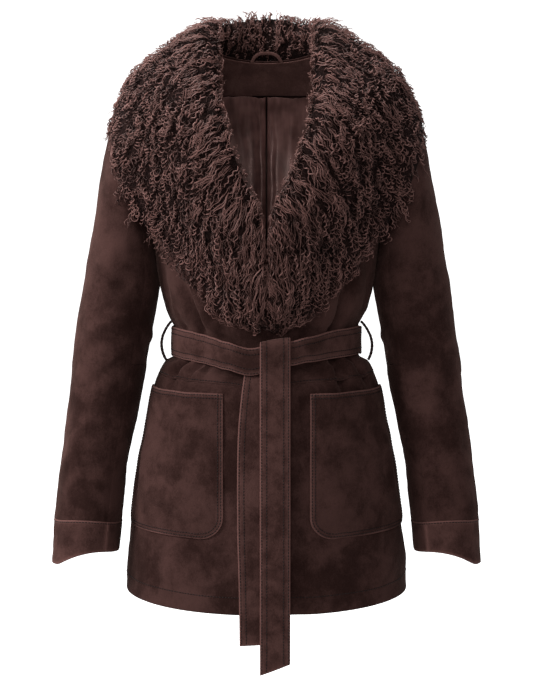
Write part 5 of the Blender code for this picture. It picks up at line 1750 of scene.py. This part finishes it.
@dataclass
class Sleeve:
    """A two-piece sleeve, its lower part pieced across at the elbow, with a plain cuff band."""

    side: int
    hand: str
    sewing: Sewing

    def part(
        self,
        name: str,
        nodes: tuple[str, ...],
        turns: tuple[float, float],
        ends: tuple[float, float],
        columns: int,
        seed: int,
    ) -> Cloth:
        """A piece of sleeve between two turns and two stations.

        Args:
            name: what the piece is called, without the hand.
            nodes: the CAD nodes that it stands for.
            turns: where it starts and ends round the sleeve.
            ends: its first and last station.
            columns: steps across.
            seed: which unevenness.

        Returns:
            The cloth.
        """
        half_gap = CLOSED_GAP / SLEEVE_RADIUS
        around = np.linspace(turns[0] + half_gap, turns[1] - half_gap, columns + 1)
        stations = SLEEVE.evenly(ends[0], ends[1], CLOTH_STEP)
        points = sleeve_points(self.side, around, stations)
        cloth = Cloth(f"{name}_{self.hand}", nodes, points, self.side < 0)
        along = np.interp(stations, np.arange(len(SLEEVE.stops)), SLEEVE.stops)[:, None]
        height = crease_height(wrapped(around) * SLEEVE_RADIUS, along, SLEEVE_CREASES)
        cloth.raise_by(height * eased(from_sides(points), 0.0, SLEEVE_SEAM_HOLD))
        cloth.soften(*SLEEVE_WAVES, seed).soften(*SLEEVE_RIPPLES, seed + 1, RIPPLE_HOLD)
        z, inner = cloth.points[..., 2], 0.5 - 0.5 * np.cos(around)
        close = eased(z, *TUCK_LOW) * (1 - eased(z, *TUCK_HIGH)) * inner**3
        cloth.points[..., 0] -= self.side * TUCK * close
        return cloth

    def build(self, suede: bpy.types.Material, paler_suede: bpy.types.Material) -> None:
        """Makes the four cloths."""
        seam = SEAM_GAP / 2 / (SLEEVE.stops[CUFF_END] / CUFF_END)
        seed, hand = (41 if self.side > 0 else 51), self.hand
        outer = (BACK_SEAM_TURN - 2 * pi, FRONT_SEAM_TURN)
        under = (FRONT_SEAM_TURN, BACK_SEAM_TURN)
        around = (FRONT_SEAM_TURN - 2 * pi, FRONT_SEAM_TURN)
        whole = tuple(f"topsleeve_{part}_{hand}" for part in ("head", "high", "low"))
        high_nodes, low_nodes = (f"undersleeve_high_{hand}",), (f"undersleeve_low_{hand}",)
        to_cuff, to_elbow, from_elbow = CUFF_SEAM - seam, ELBOW_SEAM - seam, ELBOW_SEAM + seam
        top = self.part("topsleeve_cloth", whole, outer, (0.0, to_cuff), OUTER_COLUMNS, seed)
        high_ends, low_ends, cuff_ends = (0.0, to_elbow), (from_elbow, to_cuff), (CUFF_SEAM + seam, CUFF_END)
        high = self.part("undersleeve_cloth_high", high_nodes, under, high_ends, UNDER_COLUMNS, seed + 2)
        low = self.part("undersleeve_cloth_low", low_nodes, under, low_ends, UNDER_COLUMNS, seed + 4)
        cuff = self.part("cuff_cloth", (f"cuff_{hand}",), around, cuff_ends, CUFF_COLUMNS, seed + 6)
        out = np.abs(cuff.points[..., 0])
        corner = bell(out.max(axis=1, keepdims=True) - out, CUFF_CORNER_WIDTH)
        cuff.points[..., 2] += CUFF_CORNER * corner * np.linspace(0, 1, len(out))[:, None] ** 2
        self.sewing.row(*cuff.inset_row("bottom", STITCH_ROWS[0]))
        for cloth in (top, high, low):
            cloth.make(suede)
        cuff.make(paler_suede)


@dataclass
class Pocket:
    """A patch pocket with round lower corners, its mouth standing just open."""

    side: int
    hand: str
    sewing: Sewing

    def build(self, suede: bpy.types.Material) -> None:
        """Makes the pocket and its two rows of stitches all round."""
        corner_rows = POCKET_BOTTOM + POCKET_CORNER * (1 - np.cos(np.linspace(0, pi / 2, POCKET_CORNER_ROWS)))
        upper_rows = np.linspace(corner_rows[-1], POCKET_TOP, POCKET_ROWS)[1:]
        z = np.concatenate([corner_rows, upper_rows])[:, None]
        u = np.linspace(0, 1, POCKET_COLUMNS)[None, :]
        level = level_at(z, self.side * POCKET_TURN)
        ring = BODY.at(level)
        short = POCKET_CORNER - np.minimum(z - POCKET_BOTTOM, POCKET_CORNER)
        cut = POCKET_CORNER - np.sqrt(np.maximum(POCKET_CORNER**2 - short**2, 0.0))
        low = angle_at(POCKET_INNER, level) + cut / ring[..., 4] * POCKET_ROUND_INNER
        high = POCKET_OUTER_TURN - cut / ring[..., 3] * POCKET_ROUND_OUTER
        fall = POCKET_TOP_FALL * u * eased(z, POCKET_BOTTOM, POCKET_TOP)
        angle = self.side * (low + (high - low) * u)
        lowered = level - fall / LEVEL_DROP
        points, normals = torso_point(angle, lowered), torso_normal(angle, lowered)
        across = 1 - (2 * u - 1) ** 4
        mouth = eased(z, POCKET_TOP - POCKET_EASE, POCKET_TOP)
        upright = eased(z, POCKET_BOTTOM, POCKET_BOTTOM + POCKET_EASE)
        full = POCKET_SWELL * upright * (1 - (1 - POCKET_SWELL_TOP) * mouth) + POCKET_MOUTH * mouth
        points = points + normals * (LAY_GAP + POCKET_WALL + full * across)[..., None]
        nodes = (f"pocket_{self.hand}",)
        cloth = Cloth(f"patch_pocket_{self.hand}", nodes, points, self.side < 0, POCKET_WALL)
        across, along = lengths(points, 1), lengths(points, 0)
        height = crease_height(across - across[:, -1:] / 2, along, POCKET_CREASES)
        cloth.raise_by(height * eased(np.minimum(from_sides(points), along), *POCKET_HOLD))
        cloth.soften(*POCKET_WAVES, 61 + self.side)
        for inset in STITCH_ROWS:
            self.sewing.row(*cloth.inset_row("top", inset))
            self.sewing.row(*self.outline_row(cloth, inset))
        cloth.make(suede)

    def outline_row(self, cloth: Cloth, inset: float) -> tuple[Array, Array]:
        """A line down one side, round the bottom and up the other, a distance in from the edge."""
        points, normals = cloth.points, cloth.normals
        rows, columns = points.shape[:2]
        border = [(row, 0) for row in range(rows - 1, 0, -1)]
        border += [(0, column) for column in range(columns)]
        border += [(row, columns - 1) for row in range(1, rows)]
        edge = np.array([points[place] for place in border])
        out = np.array([normals[place] for place in border])
        along = np.gradient(edge, axis=0)
        for _ in range(6):
            smooth(along)
        inwards = np.cross(out, unit(along))
        centre = points[rows // 2, columns // 2]
        if ((centre - edge[0]) * inwards[0]).sum() < 0:
            inwards = -inwards
        line = edge + inwards * inset
        flat = points.reshape(-1, 3)
        nearest = ((line[:, None] - flat[None]) ** 2).sum(-1).argmin(axis=1)
        faced = normals.reshape(-1, 3)[nearest]
        line += faced * ((flat[nearest] - line) * faced).sum(-1, keepdims=True)
        return line, faced


@dataclass
class BackNeck:
    """What shows inside the neck: the suede facing, the satin lining and the hanger loop."""

    def inside(self, angles: Array, levels: Array, depth: Array | float) -> Array:
        """Points behind the back, a depth in from its outer face."""
        points, normals = torso_point(angles, levels), torso_normal(angles, levels)
        return points - normals * np.broadcast_to(depth, points.shape[:2])[..., None]

    def facing(self, suede: bpy.types.Material) -> None:
        """The suede strip inside the back neck."""
        levels = BODY.evenly(self.join(FACING_DEPTH), step_along(NECK, -FACING_TOP_STEP), FACING_STEP)
        half_width = np.minimum(FACING_HALF_WIDTH, BODY.at(levels)[:, 3] * FACING_SHARE)
        angles = pi + angle_at(half_width, levels)[:, None] * np.linspace(-1, 1, FACING_COLUMNS)
        points = self.inside(angles, levels[:, None] + 0 * angles, SUEDE + LINING_GAP + FACING_CLEAR)
        facing = Cloth("neck_facing", ("back_neck_facing",), points, False, FACING)
        facing.soften(*FACING_WAVES, 71, FACING_HOLD).make(suede)

    def lining(self, satin: bpy.types.Material) -> None:
        """The satin behind the back, gathered under the facing, with an open pleat in the middle."""
        seam_z = LEVELS[NECK].z_back - FACING_DEPTH
        end = float(level_at(LINING_END, pi))
        levels = BODY.evenly(end, self.join(FACING_DEPTH + SEAM_GAP), LINING_STEP)
        half = side_angle(levels, ARMHOLE_BACK) * LINING_SHARE
        even = np.linspace(-1, 1, LINING_COLUMNS)
        crowded = np.sign(even) * np.abs(even) ** LINING_CROWDING
        angles = pi + half[:, None] * (LINING_MIDDLE * even + (1 - LINING_MIDDLE) * crowded)
        grid = levels[:, None] + 0 * angles
        across, height = (angles - pi) * BODY_RADIUS, torso_point(angles, grid)[..., 2]
        swing = 1 - GATHER_SWING + GATHER_SWING * np.sin(across * GATHER_SWING_RATE + GATHER_SWING_SHIFT)
        drift = GATHER_DRIFT * np.sin(across * GATHER_DRIFT_RATE)
        gathers = GATHER_HEIGHT * np.sin(across * GATHER_RATE + drift) * swing
        near_seam = eased(height, *(seam_z - fall for fall in GATHER_FALL))
        lips = sum(lip.height * bell(across - lip.across, lip.width) for lip in LIPS)
        pleat = lips * (1 - bell(across, PLEAT_HALF_WIDTH))
        ripple = gathers * near_seam + crease_height(-across, height, LINING_CREASES)
        hung = LINING_HANG * eased(seam_z - height, *LINING_HANG_FALL)
        points = self.inside(angles, grid, SUEDE + LINING_GAP + LINING_CLEAR + hung)
        nodes, rests = ("lining_back",), ("bodice_back",)
        lining = Cloth("satin_lining", nodes, points, False, SATIN, Finish.SATIN, "hung", rests)
        lining.raise_by(-np.abs(ripple) - pleat).make(satin)

    def join(self, below: float) -> float:
        """The level at a depth below the back of the neck."""
        return float(level_at(LEVELS[NECK].z_back - below, pi, NECK))

    def build(self, suede: bpy.types.Material, satin: bpy.types.Material) -> None:
        """Makes the three pieces."""
        self.facing(suede)
        self.lining(satin)
        self.hanger(suede)

    def hanger(self, suede: bpy.types.Material) -> None:
        """A narrow strap standing up in an arch with a flat top."""
        neck = torso_point(np.array(pi), np.array(float(NECK)))
        y = neck[1] - SUEDE - LINING_GAP - FACING - HANGER_THICKNESS / 2 - SEAM_GAP
        half, foot = (HANGER_WIDTH - HANGER_STRAP) / 2, neck[2] - HANGER_FOOT
        angle = np.linspace(0, pi, HANGER_ROWS)[:, None]
        out = np.linspace(-0.5, 0.5, HANGER_COLUMNS)[None, :] * HANGER_STRAP
        across, up = squared(np.cos(angle), HANGER_SQUARENESS), squared(np.sin(angle), HANGER_SQUARENESS)
        crown = HANGER_CROWN * (1 - (out / HANGER_STRAP * 2) ** 2)
        points = xyz(
            (half + out) * across * (HANGER_FOOT_SPREAD - HANGER_TAPER * up),
            y - HANGER_THICKNESS / 2 - crown,
            foot + (HANGER_HEIGHT + out) * up,
        )
        flipped = bool((normals_of(points)[..., 1]).mean() > 0)
        strap = Cloth("hanger_strap", ("hanger_loop",), points, flipped, HANGER_THICKNESS, rim=HANGER_RIM)
        strap.make(suede)


@dataclass
class Belt:
    """The tie belt: the band round the waist, the end folded over it and the end behind."""

    sewing: Sewing

    def stand(self, angle: Array) -> Array:
        """How far the band stands off the waist: flat where the tied end wraps it, close elsewhere."""
        turn = np.abs(wrapped(angle))
        depth = LEVELS[BELT_LOW].depth_front
        flat = (depth + KNOT_STAND) / squared(np.cos(np.minimum(turn, KNOT_TURN)), SQUARENESS) - depth
        return BAND_CLEAR + (flat - BAND_CLEAR) * (1 - eased(turn, KNOT_TURN, KNOT_END))

    def band(self) -> Cloth:
        """The band, slightly rolled and buckled as a soft belt is."""
        ring = LEVELS[BELT_LOW]
        half_gap = SEAM_GAP / 2 / ring.depth_front
        angle = np.linspace(half_gap, 2 * pi - half_gap, BAND_COLUMNS)[None, :]
        across = np.linspace(-1, 1, BAND_ROWS)[:, None]
        height = across * between(BAND_HEIGHTS, turn_of(angle))
        stand = self.stand(angle) + BELT_STRAP + 0 * across
        forward, sideways = np.cos(angle), np.sin(angle)
        depth = np.where(forward > 0, ring.depth_front, ring.depth_back)
        points = xyz(
            (ring.half_width + stand) * squared(sideways, SQUARENESS),
            -(depth + stand) * squared(forward, SQUARENESS),
            WAIST_Z - waist_drop(angle, np.array(WAIST_Z)) + height,
        )
        cloth = Cloth("waist_belt", ("belt_band",), points, False, BELT_STRAP, rim=BELT_RIM)
        run = lengths(points, 1)
        drift = BUCKLE_DRIFT * np.sin(run * BUCKLE_DRIFT_RATE)
        buckle = BUCKLE * np.sin(run * BUCKLE_RATE + across * BUCKLE_SLOPE + drift)
        return cloth.raise_by((buckle + BAND_CROWN) * (1 - across**2))

    def front_depth(self, z: Array, x: Array) -> Array:
        """How far forward the coat's front reaches at some heights and distances from the centre."""
        angle = angle_at(x, np.full(np.shape(x), float(WAIST_SEAM)))
        for _ in range(3):
            level = level_at(np.maximum(z, LEVELS[HEM].z_front), angle)
            angle = angle_at(x, level)
        return -torso_point(angle, level)[..., 1]

    def widest_depth(self, z: Array, middle: Array) -> Array:
        """The most that the coat's front reaches forward behind a strip of belt at some heights."""
        rises, across = np.array(TAIL_RISES)[:, None, None], np.array(TAIL_ACROSS)[None, :, None]
        return self.front_depth(z + rises + 0 * across, middle + across + 0 * rises).max(axis=(0, 1))

    def strap(
        self, name: str, node: str, path: Array, middle: Array, end: tuple[float, float], slant: Array
    ) -> Cloth:
        """A stretch of belt along a line in side view.

        Args:
            name: the piece's name.
            node: the CAD node that it stands for.
            path: depth and height of its outer face, from the top down.
            middle: the middle's distance from the centre at each point.
            end: the heights of the tip's two corners.
            slant: how much one side lies higher at each point.

        Returns:
            The cloth.
        """
        across = np.linspace(-0.5, 0.5, TAIL_COLUMNS)
        last_share = eased(np.arange(len(path)), len(path) - TIP_STEPS, len(path) - 1)[:, None]
        tip = (end[0] - path[-1, 1]) + (end[1] - end[0]) * (across + 0.5)
        points = xyz(
            middle[:, None] + TAIL_WIDTH * across,
            -path[:, :1],
            path[:, 1:] + slant[:, None] * across + last_share * tip,
        )
        cloth = Cloth(name, (node,), points, True, BELT_STRAP, rim=BELT_RIM)
        run = lengths(points, 0)
        wave = TAIL_WAVE * np.sin(run * TAIL_WAVE_RATE + across * TAIL_WAVE_SLOPE)
        wave += TAIL_CROWN * (1 - (2 * across) ** 2)
        return cloth.raise_by(wave * eased(run, 0.0, TAIL_HOLD))

    def back_tail(self) -> Cloth:
        """The end that comes out below the band and hangs against the skirt."""
        table = SmoothTable(BACK_TAIL, [(row.z,) for row in BACK_TAIL])
        rows = table.at(table.evenly(0, len(BACK_TAIL) - 1, TAIL_STEP))
        depth = self.widest_depth(rows[:, 0], rows[:, 1]) + LAY_GAP + BELT_STRAP
        path = np.stack([depth, rows[:, 0]], axis=-1)
        end = (rows[-1, 0] - 0.001, rows[-1, 0] + 0.001)
        return self.strap("belt_end_behind", "belt_tail_back", path, rows[:, 1], end, np.zeros(len(rows)))

    def front_tail(self) -> Cloth:
        """The end that comes up behind the band, folds over its top edge and hangs in front."""
        band_back = LEVELS[BELT_LOW].depth_front + KNOT_STAND
        inner = band_back - LAY_GAP - BELT_STRAP / 2
        outer = band_back + BELT_STRAP + LAY_GAP + BELT_STRAP / 2
        radius = (outer - inner) / 2
        centre_z = FRONT_TAIL_TOP - BELT_STRAP / 2 - radius
        turn = np.linspace(0, pi, 13)
        path = [(inner, FRONT_TAIL_BACK_END), (inner, centre_z - 0.010)]
        path += list(zip((inner + outer) / 2 - radius * np.cos(turn), centre_z + radius * np.sin(turn)))
        z = np.array(FRONT_TAIL_ROWS)
        depth = self.widest_depth(z, np.full(len(z), FRONT_TAIL_MIDDLE)) + 2 * LAY_GAP + BELT_STRAP * 1.5
        path += list(zip(np.maximum(depth, outer), z))
        path.append((path[-1][0], (FRONT_TAIL_END[0] + FRONT_TAIL_END[1]) / 2))
        line = np.array(path)
        table = SmoothTable(line, line)
        line = table.at(table.evenly(0, len(line) - 1, FOLD_STEP))
        along = unit(np.gradient(line, axis=0))
        line = line + np.stack([-along[:, 1], along[:, 0]], axis=-1) * BELT_STRAP / 2
        slant = FRONT_TAIL_SLANT * eased(line[:, 1], WAIST_Z - 0.03, WAIST_Z + 0.01)
        middle = np.full(len(line), FRONT_TAIL_MIDDLE)
        return self.strap("belt_end_in_front", "belt_tail_front", line, middle, FRONT_TAIL_END, slant)

    def build(self, suede: bpy.types.Material) -> None:
        """Makes the three stretches, each with two rows of stitches along both edges."""
        sides = ("first", "last")
        cloths = ((self.band(), ("top", "bottom")), (self.back_tail(), sides), (self.front_tail(), sides))
        for cloth, edges in cloths:
            for edge in edges:
                for inset in BELT_ROWS:
                    self.sewing.row(*cloth.inset_row(edge, inset))
            cloth.make(suede)


@dataclass
class BeltLoop:
    """A thin cord at a side seam, bowed out round the belt."""

    side: int
    hand: str

    def build(self, cord: bpy.types.Material) -> None:
        """Makes the cord as a twisted tube along its line."""
        angle = np.array(self.side * pi / 2)
        clear = LOOP_RADIUS + SEAM_GAP
        ends = [abs(float(torso_point(angle, level_at(z, angle))[0])) + clear for z in (LOOP_HIGH, LOOP_LOW)]
        part = np.linspace(0, 1, 49)
        x = ends[0] + (ends[1] - ends[0]) * part + LOOP_BULGE * np.sin(pi * part) ** LOOP_ROUNDNESS
        z = LOOP_HIGH + (LOOP_LOW - LOOP_HIGH) * part
        curve = bpy.data.curves.new("cord", "CURVE")
        curve.dimensions, curve.bevel_depth, curve.bevel_resolution = "3D", LOOP_RADIUS * CORD_FULLNESS, 1
        curve.use_fill_caps = True
        for strand in range(2):
            twist = part * CORD_TWIST + strand * pi
            aside, forward = (way(twist) * LOOP_RADIUS * CORD_APART for way in (np.cos, np.sin))
            spline = curve.splines.new("POLY")
            spline.points.add(len(part) - 1)
            places = np.stack([self.side * (x + aside), forward, z, np.ones_like(z)], axis=-1)
            spline.points.foreach_set("co", places.ravel())
        helper = bpy.data.objects.new("cord", curve)
        mesh = bpy.data.meshes.new_from_object(helper)
        mesh.name = f"cord_loop_{self.hand}"
        mesh.materials.clear()
        bpy.data.objects.remove(helper)
        bpy.data.curves.remove(curve)
        mesh.shade_smooth()
        obj = put_in_scene(mesh, cord)
        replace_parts(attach(obj, "root"), f"belt_loop_{self.hand}")
        log.info("%s: %d faces", mesh.name, len(mesh.polygons))


@dataclass(frozen=True)
class Studio:
    """The camera, the soft lights and the pale floor."""

    camera_place: Place = (0.0, -2.5, -0.092)
    camera_tilt: float = 83.07
    sensor: float = 36.0
    focal_pixels: float = 1798.9
    frame_pixels: tuple[int, int] = (533, 690)
    floor_z: float = -1.25
    wall_y: float = 7.0
    wall_top: float = 7.0
    half_width: float = 9.0
    glow: float = 0.85
    light_size: float = 1.2
    fill: float = 0.45
    middle: Place = (0.0, 0.0, -0.35)

    def camera(self) -> None:
        """A camera at the photograph's angle, which fits its longer side."""
        camera = bpy.data.cameras.new("camera")
        camera.sensor_fit = "AUTO"
        camera.sensor_width = self.sensor
        camera.lens = self.focal_pixels * self.sensor / max(self.frame_pixels)
        camera.clip_end = 60.0
        obj = bpy.data.objects.new("camera", camera)
        obj.location = self.camera_place
        obj.rotation_euler = (radians(self.camera_tilt), 0.0, 0.0)
        bpy.context.scene.collection.objects.link(obj)
        bpy.context.scene.camera = obj

    def light(self, name: str, place: Place, power: float) -> None:
        """One square soft light, turned to the coat's middle."""
        lamp = bpy.data.lights.new(name, "AREA")
        lamp.shape, lamp.size, lamp.energy = "SQUARE", self.light_size, power
        obj = bpy.data.objects.new(name, lamp)
        obj.location = place
        obj.rotation_euler = (Vector(self.middle) - Vector(place)).to_track_quat("-Z", "Y").to_euler()
        bpy.context.scene.collection.objects.link(obj)

    def floor(self) -> None:
        """A pale floor far below the coat, which curves up into a wall behind it."""
        turn = np.linspace(0, pi / 2, 13)
        bend = np.stack([self.wall_y + np.sin(turn), self.floor_z + 1 - np.cos(turn)], axis=-1)
        line = np.concatenate([[(-self.half_width, self.floor_z)], bend, [(self.wall_y + 1, self.wall_top)]])
        points = xyz(np.array([-self.half_width, self.half_width]), line[:, :1], line[:, 1:])
        pale, white = (0.90, 0.90, 0.90, 1.0), (1.0, 1.0, 1.0, 1.0)
        glow = {"Emission Color": white, "Emission Strength": self.glow}
        material = Shader("floor").feed({"Base Color": pale, "Roughness": 0.9, **glow})
        floor = put_in_scene(grid_mesh("floor", points, False), material)
        floor.visible_diffuse = floor.visible_glossy = False

    def build(self) -> None:
        """Sets up the whole studio."""
        self.camera()
        self.floor()
        self.light("key", (-2.8, -1.1, 0.9), 100.0)
        self.light("front", (-0.6, -3.1, 0.9), 18.0)
        self.light("top", (-0.6, 0.3, 2.6), 80.0)
        world = bpy.data.worlds.new("studio")
        world.use_nodes = True
        bpy.context.scene.world = world
        background = world.node_tree.nodes["Background"].inputs
        background["Color"].default_value = (1.0, 1.0, 1.0, 1.0)
        background["Strength"].default_value = self.fill
        bpy.context.scene.view_settings.view_transform = "Standard"


def main() -> None:
    """Builds every piece in order."""
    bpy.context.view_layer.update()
    dark, light = (0.0185, 0.0080, 0.0068), (0.0600, 0.0288, 0.0254)
    # A paler copy of the suede, with its edges lightened more, for the cuffs and the belt.
    paler_dark, paler_light = (0.0260, 0.0116, 0.0100), (0.0760, 0.0366, 0.0322)
    suede = Suede("suede", dark, light).material()
    # The pockets' edges carry a stronger painted highlight, partly wear.
    pocket_suede = Suede("pocket_suede", dark, light, edge_wear_and_highlight=0.9).material()
    paler_suede = Suede("paler_suede", paler_dark, paler_light, cloud=24.0, edge_wear_and_highlight=0.9).material()
    # Painted light: the facing is the suede made several times lighter, standing in for light that hardly
    # reaches inside the neck.
    facing = Suede("facing_suede_painted_light", (0.0850, 0.0410, 0.0355), (0.1700, 0.0860, 0.0755)).material()
    # Partly painted light: the satin's colours are raised above its own tone to stand in for light that
    # hardly reaches inside the neck.
    satin = Satin("satin", (0.120, 0.057, 0.050), (0.320, 0.162, 0.145)).material()
    cord = Thread("cord", (0.0220, 0.0100, 0.0086), (0.0520, 0.0255, 0.0224)).material()
    thread = Thread("thread", (0.0050, 0.0020, 0.0017), (0.0150, 0.0068, 0.0058)).material()
    # The hair's dark end is its painted shade deep in the fur, and the tip colour its painted highlight.
    hair_painted_highlight = (0.1850, 0.0900, 0.0780)
    hair = Hair("hair", (0.0045, 0.0016, 0.0013), (0.0420, 0.0185, 0.0160), hair_painted_highlight).material()
    # Partly painted shade: the underwool is coloured dark to stand for the shade deep between the locks.
    underwool = Underwool("underwool", (0.0050, 0.0021, 0.0018), (0.0320, 0.0142, 0.0124)).material()
    Studio().build()
    sewing = Sewing()
    Body(sewing).build(suede)
    for side, hand in ((1, "left"), (-1, "right")):
        Sleeve(side, hand, sewing).build(suede, paler_suede)
        Pocket(side, hand, sewing).build(pocket_suede)
        BeltLoop(side, hand).build(cord)
    BackNeck().build(facing, satin)
    Belt(sewing).build(paler_suede)
    for side, hand, seed in ((1, "left", 101), (-1, "right", 202)):
        fur = Fur(CollarForm(side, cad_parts[f"collar_{hand}"]), hand, seed)
        fur.pelt(underwool, fur.build(hair))
    sewing.build(thread)


if __name__ == "__main__":
    main()
